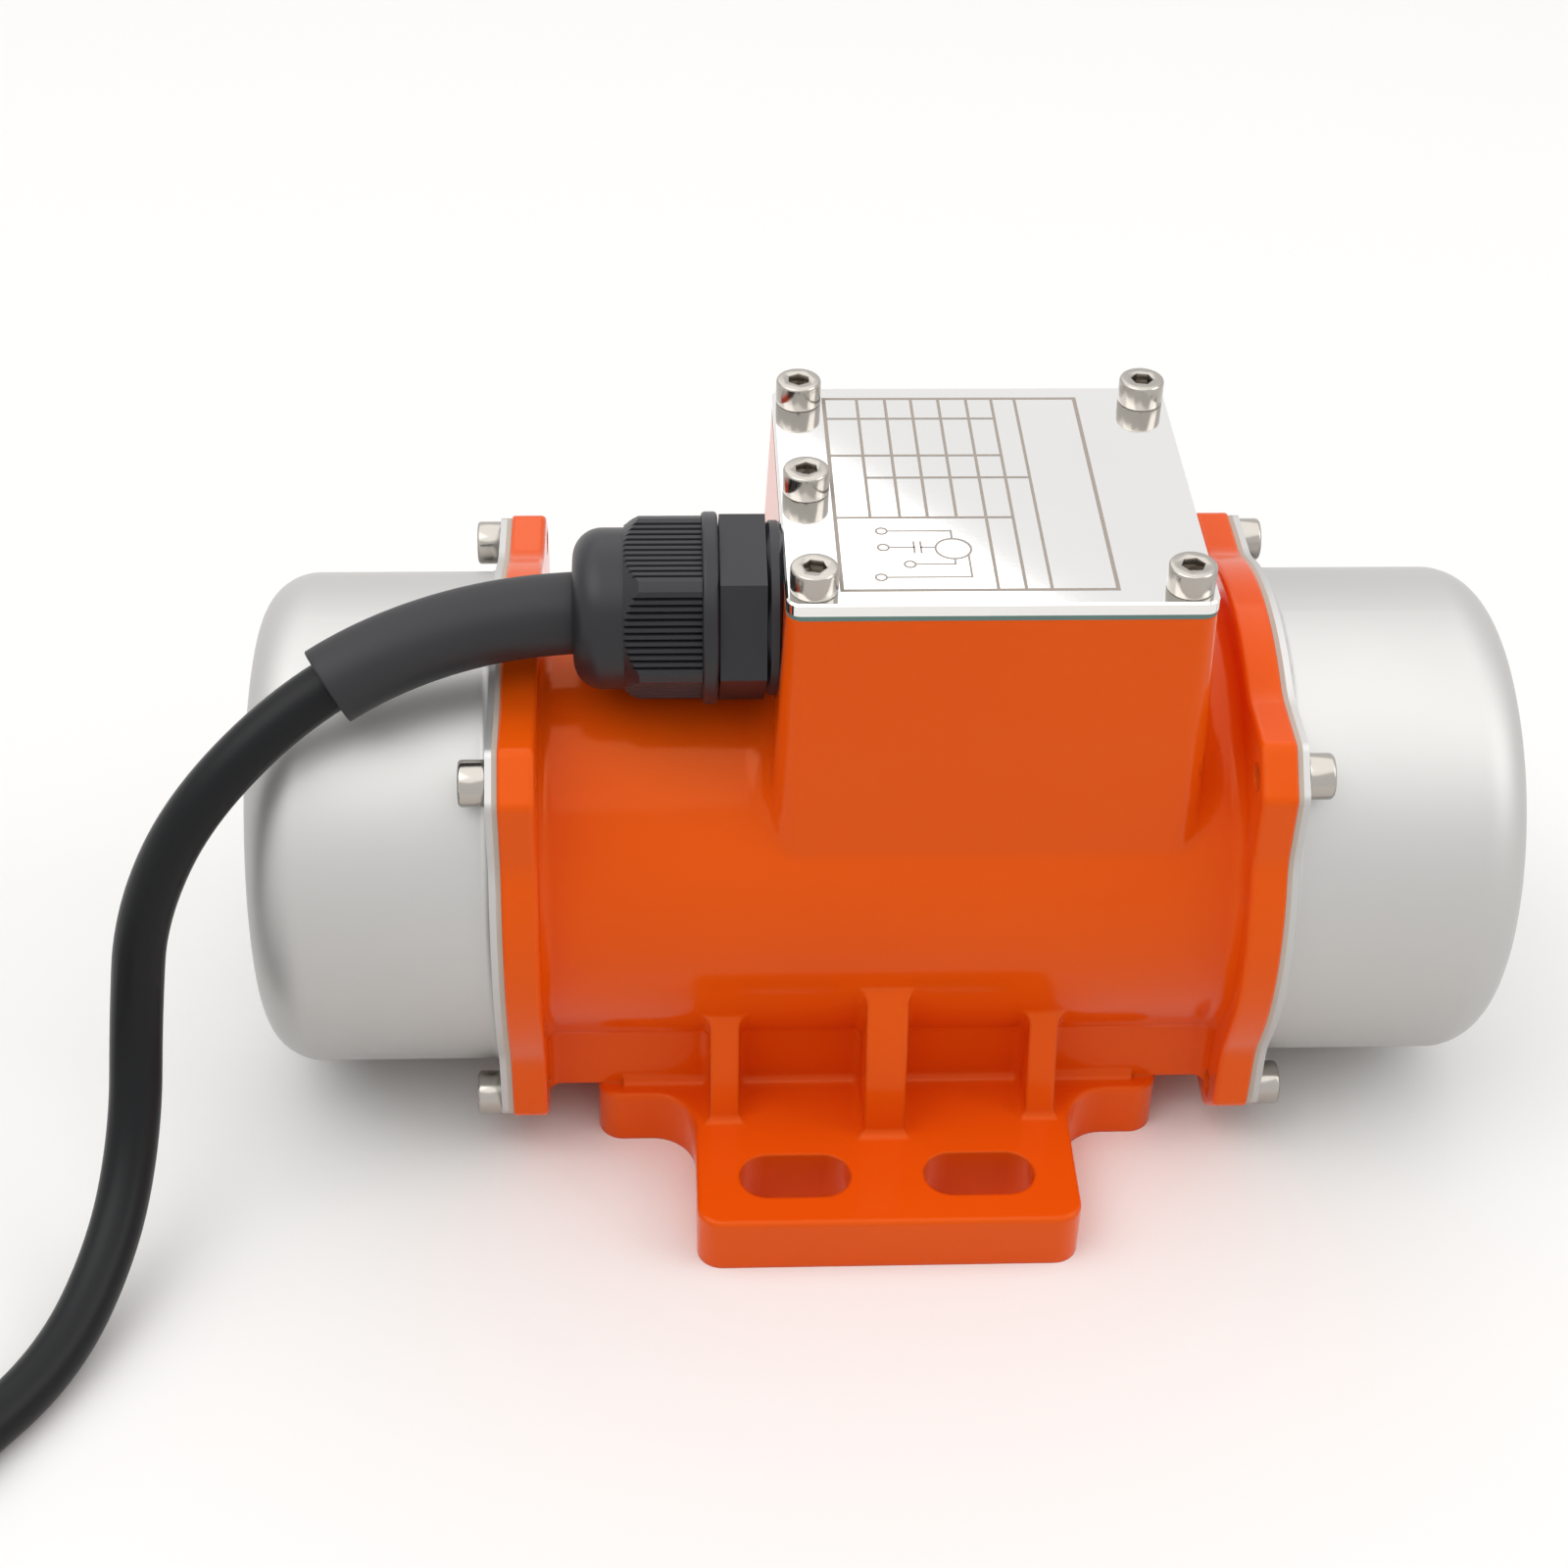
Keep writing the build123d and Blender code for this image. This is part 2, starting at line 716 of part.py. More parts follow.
def rotor_cage():
    start = core_length / 2
    inner = rotor_radius - bar_cover - bar_depth - 0.5
    ring = round_tube(rotor_radius - bar_cover / 2, inner, start, start + end_ring_length)
    cage = ring + mirrored(ring)
    for index in range(rotor_bars):
        bar = Rot(0, 0, 360 * index / rotor_bars) * rotor_bar(fit_gap)
        cage += prism(bar, -start - 1, start + 1)
    return cage


def shaft():
    end = shaft_end
    groove = journal_radius - ring_groove_depth
    seat = bearing_inner_radius - seat_gap
    half = [
        (bearing_back, rotor_seat_radius),
        (bearing_back, seat),
        (bearing_face, seat),
        (bearing_face, journal_radius),
        (ring_start, journal_radius),
        (ring_start, groove),
        (ring_start + ring_thickness + fit_gap, groove),
        (ring_start + ring_thickness + fit_gap, journal_radius),
        (end - 1, journal_radius),
        (end, journal_radius - 1),
    ]
    other_half = [(-x, radius) for x, radius in reversed(half)]
    bar = turned(other_half + half + [(end, 0), (-end, 0)])
    cut = key_blank(key_length + 2 * fit_gap, key_width + 2 * fit_gap, fit_gap)
    bar -= cut
    return bar - mirrored(cut)


# A square key on top of the shaft, under the keyed weight's hub
def key_blank(length, width, slack=0.0):
    blank = Box(length, width, key_height + 2 * slack)
    middle = (fixed_weight_start + fixed_weight_end) / 2
    floor = shaft_height + journal_radius - key_depth
    return Pos(middle, 0, floor + key_height / 2) * blank


def weight_outline():
    low_half = Pos(0, -weight_radius) * Rectangle(2 * weight_radius, 2 * weight_radius)
    lobe = Circle(weight_radius) & low_half
    tips = [v for v in lobe.vertices() if abs(v.X) > weight_radius - 1]
    lobe = fillet(tips, weight_corner)
    return lobe + Circle(weight_hub_radius)


def fixed_weight():
    outline = weight_outline() - Circle(journal_radius + fit_gap)
    weight = prism(outline, fixed_weight_start, fixed_weight_end)
    return weight - key_blank(2 * weight_thickness, key_width + 2 * fit_gap, fit_gap)


def clamp_screw_place():
    middle = (loose_weight_start + loose_weight_end) / 2
    return Plane(origin=(middle, clamp_seat, shaft_height + clamp_screw_height), z_dir=(0, 1, 0)).location


def adjustable_weight():
    block = Pos(0, clamp_block_height / 2) * Rectangle(clamp_block_width, clamp_block_height)
    block = fillet([v for v in block.vertices() if v.Y > 1], weight_corner)
    outline = weight_outline() + block - Circle(journal_radius + fit_gap)
    outline -= Pos(0, clamp_block_height) * Rectangle(clamp_slit, 2 * clamp_block_height - journal_radius)
    weight = prism(outline, loose_weight_start, loose_weight_end)
    head_diameter, head_height, flats = screw_heads[clamp_screw_size]
    head_hole = Cylinder(head_diameter / 2 + hole_gap, clamp_block_width, align=upward)
    shank_hole = Cylinder(clamp_screw_size / 2 + fit_gap, 2 * clamp_block_width)
    return weight - clamp_screw_place() * (head_hole + shank_hole)


def retaining_ring():
    inner = journal_radius - ring_groove_depth + fit_gap
    ring = Circle(inner + ring_height) - Circle(inner)
    half = math.radians(ring_opening / 2)
    reach = 2 * (inner + ring_height)
    gap = Polygon((0, 0), (reach * math.sin(half), reach * math.cos(half)),
                  (-reach * math.sin(half), reach * math.cos(half)), align=None)
    return prism(ring - gap, ring_start, ring_start + ring_thickness)


def on_gland_line(outline, x_start, length):
    return Pos(x_start - length, gland_y, gland_z) * extrude(Plane.YZ * outline, length)


def gland_turned(points):
    outline = make_face(Polyline(*[(x, 0, radius) for x, radius in points], close=True))
    return Pos(0, gland_y, gland_z) * revolve(outline, Axis.X)


def gland_hexagon():
    return Rot(0, 0, gland_turn) * RegularPolygon(gland_flats / 2, 6, major_radius=False)


def gland_washer():
    face = Circle(gland_washer_radius) - Circle(gland_thread_radius + fit_gap)
    washer = on_gland_line(face, box_left, gland_washer_thickness)
    rim = [e for e in washer.edges() if e.length > 6 * gland_washer_radius]
    return chamfer(rim, gland_washer_thickness / 4)


def gland_body():
    hex_start = box_left - gland_washer_thickness
    hex_end = hex_start - gland_hex_length
    body = on_gland_line(gland_hexagon(), hex_start, gland_hex_length)
    thread_length = gland_wall + gland_washer_thickness
    body += on_gland_line(Circle(gland_thread_radius), box_left + gland_wall, thread_length)
    body += on_gland_line(Circle(gland_sleeve_radius), hex_end, gland_sleeve_length)
    body -= on_gland_line(Circle(gland_bore_radius), box_left + gland_wall + 1, 100)
    seal_pocket = Circle(gland_seal_radius + fit_gap)
    return body - on_gland_line(seal_pocket, hex_end - seal_offset, gland_sleeve_length)


def gland_seal():
    ring = Circle(gland_seal_radius) - Circle(sleeve_radius + fit_gap)
    start = box_left - gland_washer_thickness - gland_hex_length - seal_offset - fit_gap
    return on_gland_line(ring, start, gland_seal_length)


def grip_outline():
    outline = gland_hexagon()
    surface = gland_flats / 2
    notch = Polygon((surface + 0.1, groove_width / 2), (surface + 0.1, -groove_width / 2),
                    (surface - groove_depth, 0), align=None)
    cuts = []
    for flat in range(6):
        turn = Rot(0, 0, gland_turn + 30 + 60 * flat)
        for index in range(groove_count):
            offset = (index - (groove_count - 1) / 2) * groove_pitch
            cuts.append(turn * Pos(0, offset) * notch)
    return outline - cuts


def gland_nut():
    start = nut_start
    grip_start = start - nut_flange_length
    grip_end = grip_start - nut_grip_length
    end = grip_end - nut_dome_length
    flange = on_gland_line(Circle(nut_flange_radius), start, nut_flange_length)
    flange = fillet(flange.edges().filter_by(GeomType.CIRCLE), nut_flange_length / 4)
    grip = on_gland_line(grip_outline(), grip_start, nut_grip_length)
    grip &= gland_turned([
        (grip_start, 0),
        (grip_start, nut_grip_radius),
        (grip_end + nut_chamfer, nut_grip_radius),
        (grip_end, nut_dome_radius + 0.3),
        (grip_end, 0),
    ])
    dome = on_gland_line(Circle(nut_dome_radius), grip_end + 1, nut_dome_length + 1)
    rim = [e for e in dome.edges() if abs((e @ 0.5).X - end) < 0.01]
    dome = fillet(rim, nut_dome_round)
    nut = flange + grip + dome
    hollow = gland_sleeve_radius + hole_gap
    bore = nut_mouth_radius
    return nut - gland_turned([
        (start + 1, 0),
        (start + 1, hollow),
        (grip_end + nut_wall, hollow),
        (grip_end + nut_wall - (hollow - bore) * 0.5, bore),
        (end - 1, bore),
        (end - 1, 0),
    ])


def terminal_block():
    block = Box(block_length, block_width, block_height, align=upward)
    block = chamfer(block.edges().group_by(Axis.Z)[-1], 0.8)
    cup = Cylinder(pole_screw_radius + hole_gap, 2 * pole_cup_depth)
    tunnel = Rot(0, 90, 0) * Cylinder(lead_radius + hole_gap, 2 * block_length)
    for index in range(pole_count):
        y = (index - (pole_count - 1) / 2) * pole_pitch
        for x in (-block_length / 4, block_length / 4):
            block -= Pos(x, y, block_height) * cup
        block -= Pos(0, y, block_height / 3) * tunnel
    return Pos(block_x, block_y, box_floor) * block


def terminal_screws():
    screws = []
    for index in range(pole_count):
        y = block_y + (index - (pole_count - 1) / 2) * pole_pitch
        for x in (block_x - block_length / 4, block_x + block_length / 4):
            top = box_floor + block_height - pole_cup_depth
            head = Cylinder(pole_screw_radius, pole_cup_depth - 1, align=upward)
            slit = Pos(0, 0, pole_cup_depth - 1) * Box(2 * pole_screw_radius + 1, 0.6, 1.2)
            screws.append(Pos(x, y, top + fit_gap) * (head - slit))
    return group(screws)


def run_capacitor():
    length = capacitor_right - capacitor_left
    width = capacitor_back - capacitor_front
    can = Box(length, width, capacitor_height, align=(Align.MIN, Align.MIN, Align.MIN))
    can = fillet(can.edges().filter_by(Axis.Z), 1.5)
    can = chamfer(can.edges().group_by(Axis.Z)[-1], 0.8)
    return Pos(capacitor_left, capacitor_front, box_floor) * can


def ground_screw():
    screw = cap_head_screw(cap_screw_size, ground_screw_length - 1)
    return Pos(ground_screw_x, ground_screw_y, box_floor) * screw


# A run of wire: straight runs joined by arcs as large as the runs allow
def corner_radii(points):
    spots = [Vector(*point) for point in points]
    radii = []
    for before, corner, after in zip(spots, spots[1:], spots[2:]):
        run_in = corner - before
        run_out = after - corner
        half_turn = math.radians(run_in.get_angle(run_out)) / 2
        radii.append(0.45 * min(run_in.length, run_out.length) / math.tan(half_turn))
    return radii


def wire_path(points):
    return Wire(FilletPolyline(*points, radius=corner_radii(points)).edges())


def tube(path, radius, bore=0.0):
    face = Plane(origin=path @ 0, z_dir=path % 0) * Circle(radius)
    if bore:
        face -= Plane(origin=path @ 0, z_dir=path % 0) * Circle(bore)
    return sweep(face, path)


def supply_cores():
    start = cable_route[0][0] + fit_gap
    cores = []
    for index in range(pole_count):
        y = block_y + (index - (pole_count - 1) / 2) * pole_pitch
        z = box_floor + block_height / 3
        angle = 90 + 120 * index
        dy, dz = polar(2 * lead_radius, angle)
        into_block = block_x - block_length / 2
        points = [
            (start, gland_y + dy, gland_z + dz),
            (box_left + gland_wall + 4, gland_y + dy, gland_z + dz),
            (into_block - 6, y, z),
            (into_block + 4, y, z),
        ]
        cores.append(tube(wire_path(points), lead_radius))
    return group(cores)


def stator_leads():
    leads = []
    for index in range(pole_count):
        y = block_y + (index - (pole_count - 1) / 2) * pole_pitch
        z = box_floor + block_height / 3
        spread = (index - (pole_count - 1) / 2) * (2 * lead_radius + 0.3)
        out_of_block = block_x + block_length / 2
        foot = wire_hole_y + spread
        nearest = abs(foot) - lead_radius
        start = shaft_height + math.sqrt(winding_radius ** 2 - nearest ** 2) + fit_gap
        points = [
            (wire_hole_x, foot, start),
            (wire_hole_x, foot, z),
            (out_of_block + 4, y, z),
            (out_of_block - 4, y, z),
        ]
        leads.append(tube(wire_path(points), lead_radius))
    return group(leads)


def cable_path():
    return wire_path(cable_route)


def cable():
    path = cable_path()
    solid = tube(path, cable_radius)
    section = math.pi * cable_radius ** 2
    print("cable volume over section times length", solid.volume / (section * path.length))
    return solid


def cable_sleeve():
    path = cable_path()
    part_path = path.trim(sleeve_start / path.length, sleeve_end / path.length)
    return tube(part_path, sleeve_radius, sleeve_bore)


def coil_point(radius, angle, z):
    x, y = polar(radius, angle)
    return coil_x + x, coil_y + y, z


# The coil's turns run clockwise: two lie flat, the third lies on top between them
def cable_coil():
    layer = 2 * cable_radius
    ring = Cylinder(coil_outer_turn + cable_radius, layer, align=upward)
    ring -= Cylinder(coil_inner_turn - cable_radius, 3 * layer)
    section = Pos(coil_middle_turn, (cable_radius + coil_height) / 2)
    section = Plane.XZ * section * Rectangle(layer, coil_height - cable_radius)
    upper = revolve(section, Axis.Z, coil_top_sweep)
    ring += Rot(0, 0, coil_entry_angle - coil_top_sweep) * upper
    lead_in = Cylinder(cable_radius, coil_lead_in, align=downward)
    lead_in = Rot(0, 0, coil_entry_angle) * Pos(coil_outer_turn, 0, cable_radius) * Rot(90, 0, 0) * lead_in
    return Pos(coil_x, coil_y, 0) * (ring + lead_in)


# The stripped cores lie on the coil, past the end of the cable's jacket
def core_points(side, start, end):
    last = coil_entry_angle - coil_top_sweep
    points = []
    for step in range(4):
        run = start + (end - start) * step / 3
        angle = last - math.degrees(run / coil_middle_turn)
        share = run / (core_strip + ferrule_length)
        radius = coil_middle_turn + side * (lead_radius + 0.1 + core_fan * share) * 2
        z = coil_top - (coil_top - core_rest) * min(1, 1.6 * share)
        points.append(coil_point(radius, angle, z))
    return points


def cable_cores():
    cores = []
    for side in (-1, 0, 1):
        cores.append(tube(wire_path(core_points(side, core_gap, core_strip)), lead_radius))
    return group(cores)


def core_ferrules():
    ferrules = []
    for side in (-1, 0, 1):
        end = core_points(side, core_gap, core_strip)
        tip = Vector(*end[-1])
        way = tip - Vector(*end[-2])
        pin = Plane(origin=tip, z_dir=way) * Circle(ferrule_radius)
        ferrules.append(extrude(pin, ferrule_length))
    return group(ferrules)


shield = bearing_shield()
cap = end_cap()
cap_seal = cap_gasket()
cap_screw = cap_head_screw(cap_screw_size, cap_screw_length)
cap_screws = group([place * cap_screw for place in ear_screw_places(cap_start + cap_sheet)])
cover_screw = cap_head_screw(cover_screw_size, cover_screw_length)
cover_screws = group([place * cover_screw for place in cover_screw_places(cover_base + cover_thickness)])
shield_screw = flat_head_screw(shield_screw_size, shield_screw_length)
shield_screws = group([place * shield_screw for place in shield_screw_places(body_half)])
outer_ring = race(ball_circle + race_land, bearing_outer_radius)
inner_ring = race(bearing_inner_radius, ball_circle - race_land)
inner_spacer = round_tube(inner_spacer_radius, journal_radius + fit_gap, bearing_face, fixed_weight_start)
washer_bore = journal_radius + fit_gap
weight_washer = round_tube(weight_washer_radius, washer_bore, fixed_weight_end, loose_weight_start)
end_washer = round_tube(weight_washer_radius, washer_bore, loose_weight_end, ring_start)
clamp_screw = clamp_screw_place() * cap_head_screw(clamp_screw_size, clamp_screw_length)

# Pieces at the right end, each with a twin at the left end
end_pieces = {
    "end_cap": cap,
    "cap_gasket": cap_seal,
    "cap_screws": cap_screws,
    "bearing_shield": shield,
    "shield_screws": shield_screws,
    "bearing_outer_ring": outer_ring,
    "bearing_inner_ring": inner_ring,
    "bearing_balls": bearing_balls(),
    "bearing_cage": bearing_cage(),
    "inner_spacer": inner_spacer,
    "fixed_weight": fixed_weight(),
    "shaft_key": key_blank(key_length, key_width),
    "weight_washers": group([weight_washer, end_washer]),
    "adjustable_weight": adjustable_weight(),
    "clamp_screw": clamp_screw,
    "retaining_ring": retaining_ring(),
}

nodes = {
    "housing": housing(),
    "terminal_cover": terminal_cover(),
    "cover_gasket": cover_gasket(),
    "cover_screws": cover_screws,
    "stator_core": stator_core(),
    "stator_winding": stator_winding(),
    "shaft": shaft(),
    "rotor_core": rotor_core(),
    "rotor_cage": rotor_cage(),
    "gland_washer": gland_washer(),
    "gland_body": gland_body(),
    "gland_seal": gland_seal(),
    "gland_nut": gland_nut(),
    "terminal_block": terminal_block(),
    "terminal_screws": terminal_screws(),
    "run_capacitor": run_capacitor(),
    "ground_screw": ground_screw(),
    "supply_cores": supply_cores(),
    "stator_leads": stator_leads(),
    "cable": cable(),
    "cable_sleeve": cable_sleeve(),
    "cable_coil": cable_coil(),
    "cable_cores": cable_cores(),
    "core_ferrules": core_ferrules(),
}
for name, shape in end_pieces.items():
    nodes[f"{name}_right"] = shape
    nodes[f"{name}_left"] = mirrored(shape)

print("cable radii", [round(radius, 1) for radius in corner_radii(cable_route)])
for name, shape in nodes.items():
    export_step(shape, f"parts/{name}.step")
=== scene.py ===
import json
import math

import bmesh
import bpy
from mathutils import Euler, Matrix, Vector


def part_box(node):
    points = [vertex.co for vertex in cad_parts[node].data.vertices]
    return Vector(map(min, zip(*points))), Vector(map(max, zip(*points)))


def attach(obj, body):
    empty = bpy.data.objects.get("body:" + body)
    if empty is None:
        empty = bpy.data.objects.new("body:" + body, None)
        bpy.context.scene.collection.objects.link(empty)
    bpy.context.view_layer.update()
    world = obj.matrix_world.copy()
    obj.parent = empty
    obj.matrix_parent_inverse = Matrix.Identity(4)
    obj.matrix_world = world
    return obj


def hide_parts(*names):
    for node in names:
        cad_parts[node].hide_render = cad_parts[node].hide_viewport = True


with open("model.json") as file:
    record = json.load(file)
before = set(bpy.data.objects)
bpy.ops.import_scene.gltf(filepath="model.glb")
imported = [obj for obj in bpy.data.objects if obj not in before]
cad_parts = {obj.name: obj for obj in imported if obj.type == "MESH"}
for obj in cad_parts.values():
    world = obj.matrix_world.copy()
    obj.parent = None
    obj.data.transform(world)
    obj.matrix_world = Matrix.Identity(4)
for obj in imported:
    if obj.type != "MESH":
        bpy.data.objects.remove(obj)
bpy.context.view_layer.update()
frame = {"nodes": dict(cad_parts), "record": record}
nodes = frame["nodes"]
record = frame["record"]
mm = 0.001
nearly = 0.01 * mm  # two measures closer than this count as one
print("frame loaded:", len(nodes), "parts")


# small helpers

def hexColour(code):
    # an sRGB hex value such as "#E8590B" as the linear colour that the shaders want
    values = []
    for i in (1, 3, 5):
        c = int(code[i:i + 2], 16) / 255
        values.append(c / 12.92 if c <= 0.04045 else ((c + 0.055) / 1.055) ** 2.4)
    return (*values, 1.0)


def addNode(tree, kind, settings=None, links=None):
    # one node, its settings and what feeds it
    node = tree.nodes.new(kind)
    for name, value in (settings or {}).items():
        if isinstance(name, int) or name in node.inputs:
            node.inputs[name].default_value = value
        else:
            setattr(node, name, value)
    for name, source in (links or {}).items():
        tree.links.new(source, node.inputs[name])
    return node


def newMaterial(name, settings):
    # a material with constant values set on its own shader
    material = bpy.data.materials.new(name)
    material.use_nodes = True
    tree = material.node_tree
    shader = tree.nodes["Principled BSDF"]
    for key, value in settings.items():
        shader.inputs[key].default_value = value
    return material, tree, shader


def objectCoordinates(tree):
    return addNode(tree, "ShaderNodeTexCoord").outputs["Object"]


def deselectAll():
    if bpy.context.mode != "OBJECT":
        bpy.ops.object.mode_set(mode="OBJECT")
    bpy.ops.object.select_all(action="DESELECT")


def activate(obj):
    deselectAll()
    obj.select_set(True)
    bpy.context.view_layer.objects.active = obj
    return obj


def applyModifiers(obj):
    activate(obj)
    for modifier in list(obj.modifiers):
        bpy.ops.object.modifier_apply(modifier=modifier.name)
    return obj


def bakePlace(obj):
    # the place goes into the mesh, as on the parts of the frame
    activate(obj)
    bpy.ops.object.transform_apply(location=True, rotation=True, scale=True)
    return obj


def paint(obj, material):
    obj.data.materials.clear()
    obj.data.materials.append(material)
    return obj


def editPart(obj, kind, test):
    # edit mode with only the faces or edges picked that pass the test
    activate(obj)
    bpy.ops.object.mode_set(mode="EDIT")
    bpy.ops.mesh.select_mode(type=kind)
    bpy.ops.mesh.select_all(action="DESELECT")
    shape = bmesh.from_edit_mesh(obj.data)
    for part in (shape.faces if kind == "FACE" else shape.edges):
        if test(part):
            part.select_set(True)
    bmesh.update_edit_mesh(obj.data)


def leaveEdit():
    bpy.ops.object.mode_set(mode="OBJECT")


def smooth(obj, angle=30):
    activate(obj)
    bpy.ops.object.shade_smooth_by_angle(angle=math.radians(angle))


def copyPiece(obj, name, place):
    # a copy with its own mesh, moved to its place inside that mesh
    twin = obj.copy()
    twin.data = obj.data.copy()
    twin.name = name
    bpy.context.scene.collection.objects.link(twin)
    twin.data.transform(place)
    return twin


def joinPieces(pieces, name):
    activate(pieces[0])
    for piece in pieces:
        piece.select_set(True)
    bpy.ops.object.join()
    whole = bpy.context.active_object
    whole.name = name
    return whole


def rideAndSlot(piece, slot):
    # the piece takes its slot's finish and stays on the motor's body
    paint(piece, finishes[slot])
    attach(piece, "motor_body")


# camera, as the photograph was taken

cameraLook = {
    "place": (-34.818 * mm, -349.02 * mm, 327.342 * mm),
    "down": 38.545,  # degrees below level
    "turn": 3.239,
    "roll": 1.53,
    "lens": 63.198,
    "sensor": 36.0,
    "nearest": 0.01,
}


def makeCamera(look):
    data = bpy.data.cameras.new("photoCamera")
    data.lens = look["lens"]
    data.sensor_width = look["sensor"]
    data.clip_start = look["nearest"]
    camera = bpy.data.objects.new("photoCamera", data)
    aim = Euler((math.radians(90 - look["down"]), 0, math.radians(-look["turn"]))).to_matrix()
    aim = aim @ Matrix.Rotation(math.radians(look["roll"]), 3, "Z")
    camera.matrix_world = Matrix.Translation(look["place"]) @ aim.to_4x4()
    bpy.context.scene.collection.objects.link(camera)
    bpy.context.scene.camera = camera


makeCamera(cameraLook)
bpy.context.scene.view_settings.view_transform = "Standard"
print("camera set")


# the cable: one smooth line from the gland to its stripped end, spare length coiled out of view

cableLook = {
    "radius": 4.0 * mm,
    "route": [  # in mm, as are the coil's measures
        (-20.0, -12.3, 92.3),
        (-38.0, -12.3, 92.3),
        (-62.5, -14.5, 91.9),
        (-84.5, -23.0, 87.0),
        (-103.0, -32.5, 73.0),
        (-112.6, -36.6, 55.0),
        (-115.2, -39.5, 36.5),
        (-115.9, -48.5, 20.9),
        (-118.6, -62.5, 9.8),
        (-125.0, -80.5, 4.0),
        (-137.6, -97.3, 4.0),
    ],
    "exit": (-48.0, -12.9, 92.2),
    "leadIn": 30.0,
    "entryAngle": -36.9,
    "outerTurn": 46.0,
    "innerTurn": 38.0,
    "innerFrom": 300.0,  # degrees round the coil, where the cable starts to move inwards
    "topFrom": 690.0,  # where it starts to climb onto the two turns below
    "shift": 60.0,  # degrees that each of these moves takes
    "floorSweep": 720.0,
    "topSweep": 215.0,
    "pointsPerTurn": 16,
    "smoothness": 12,
    "roundness": 7,
}


def coilCentre(look):
    # the coil touches the line of the cable's last run
    turn = math.radians(look["entryAngle"])
    x, y = look["route"][-1][:2]
    x += look["leadIn"] * math.sin(turn) - look["outerTurn"] * math.cos(turn)
    y += -look["leadIn"] * math.cos(turn) - look["outerTurn"] * math.sin(turn)
    return x, y


def coilPoints(look):
    # two turns side by side on the floor, then a part turn on top of them, all clockwise
    cx, cy = coilCentre(look)
    outer, inner = look["outerTurn"], look["innerTurn"]
    middle = (outer + inner) / 2
    low = look["radius"] / mm
    high = low * (1 + math.sqrt(3))  # lying in the groove between two turns that touch
    step = 360 / look["pointsPerTurn"]
    sweep = look["floorSweep"] + look["topSweep"]
    points = []
    for angle in [number * step for number in range(math.ceil(sweep / step))] + [sweep]:
        radius, height = outer, low
        if angle > look["innerFrom"]:
            radius = outer + (inner - outer) * min(1, (angle - look["innerFrom"]) / look["shift"])
        if angle > look["topFrom"]:
            share = min(1, (angle - look["topFrom"]) / look["shift"])
            radius = inner + (middle - inner) * share
            height = low + (high - low) * share
        turn = math.radians(look["entryAngle"] - angle)
        # points outside the line by the little that the smooth curve cuts inside them
        reach = radius / math.cos(math.radians(step / 2)) ** 0.5
        points.append((cx + reach * math.cos(turn), cy + reach * math.sin(turn), height))
    return points


def cableLine(name, points, smoothness):
    curve = bpy.data.curves.new(name, "CURVE")
    curve.dimensions = "3D"
    spline = curve.splines.new("NURBS")
    spline.points.add(len(points) - 1)
    for point, place in zip(spline.points, points):
        point.co = (place[0] * mm, place[1] * mm, place[2] * mm, 1)
    spline.order_u = 3
    spline.use_endpoint_u = True
    spline.resolution_u = smoothness
    obj = bpy.data.objects.new(name, curve)
    bpy.context.scene.collection.objects.link(obj)
    return obj


def linePoints(obj):
    # points along the curve's own line, read from it as a plain mesh
    mesh = bpy.data.meshes.new_from_object(obj)
    points = [vertex.co.copy() for vertex in mesh.vertices]
    bpy.data.meshes.remove(mesh)
    return points


def makeCable(look):
    # a straight lead-in joins the route to the coil
    x, y, z = look["route"][-1]
    turn = math.radians(look["entryAngle"])
    half = look["leadIn"] / 2
    middle = (x + half * math.sin(turn), y - half * math.cos(turn), z)
    cable = cableLine("supplyCable", look["route"] + [middle] + coilPoints(look), look["smoothness"])
    line = linePoints(cable)
    length = sum((b - a).length for a, b in zip(line, line[1:]))
    cable.data.bevel_depth = look["radius"]
    cable.data.bevel_resolution = look["roundness"]
    cable.data.use_fill_caps = True
    return cable, line, length


supplyCable, cableRun, cableLength = makeCable(cableLook)
print("cable laid:", round(cableLength, 3), "m")


# studio: pale floor, soft lamps, pale surround

studioLook = {
    "floor": "#F3F2F0",
    "floorSize": 6.0,
    "floorRoughness": 0.9,
    "floorGloss": 0.1,
    "fadeFrom": 0.45,  # metres from the middle, where the floor starts to turn plain white
    "fadeTo": 1.1,
    "worldColour": "#FFFFFF",
    "worldLight": 0.42,
    "lamps": {
        "keySoftbox": {"place": (-0.8, -0.4, 1.35), "size": 1.1, "power": 4.5},
        "sideSoftbox": {"place": (1.1, -0.3, 0.8), "size": 0.8, "power": 3.6},
        "topSoftbox": {"place": (-0.1, 0.1, 1.2), "size": 2.4, "power": 17.0},
    },
    "aim": (0, 0, 0.05),
}


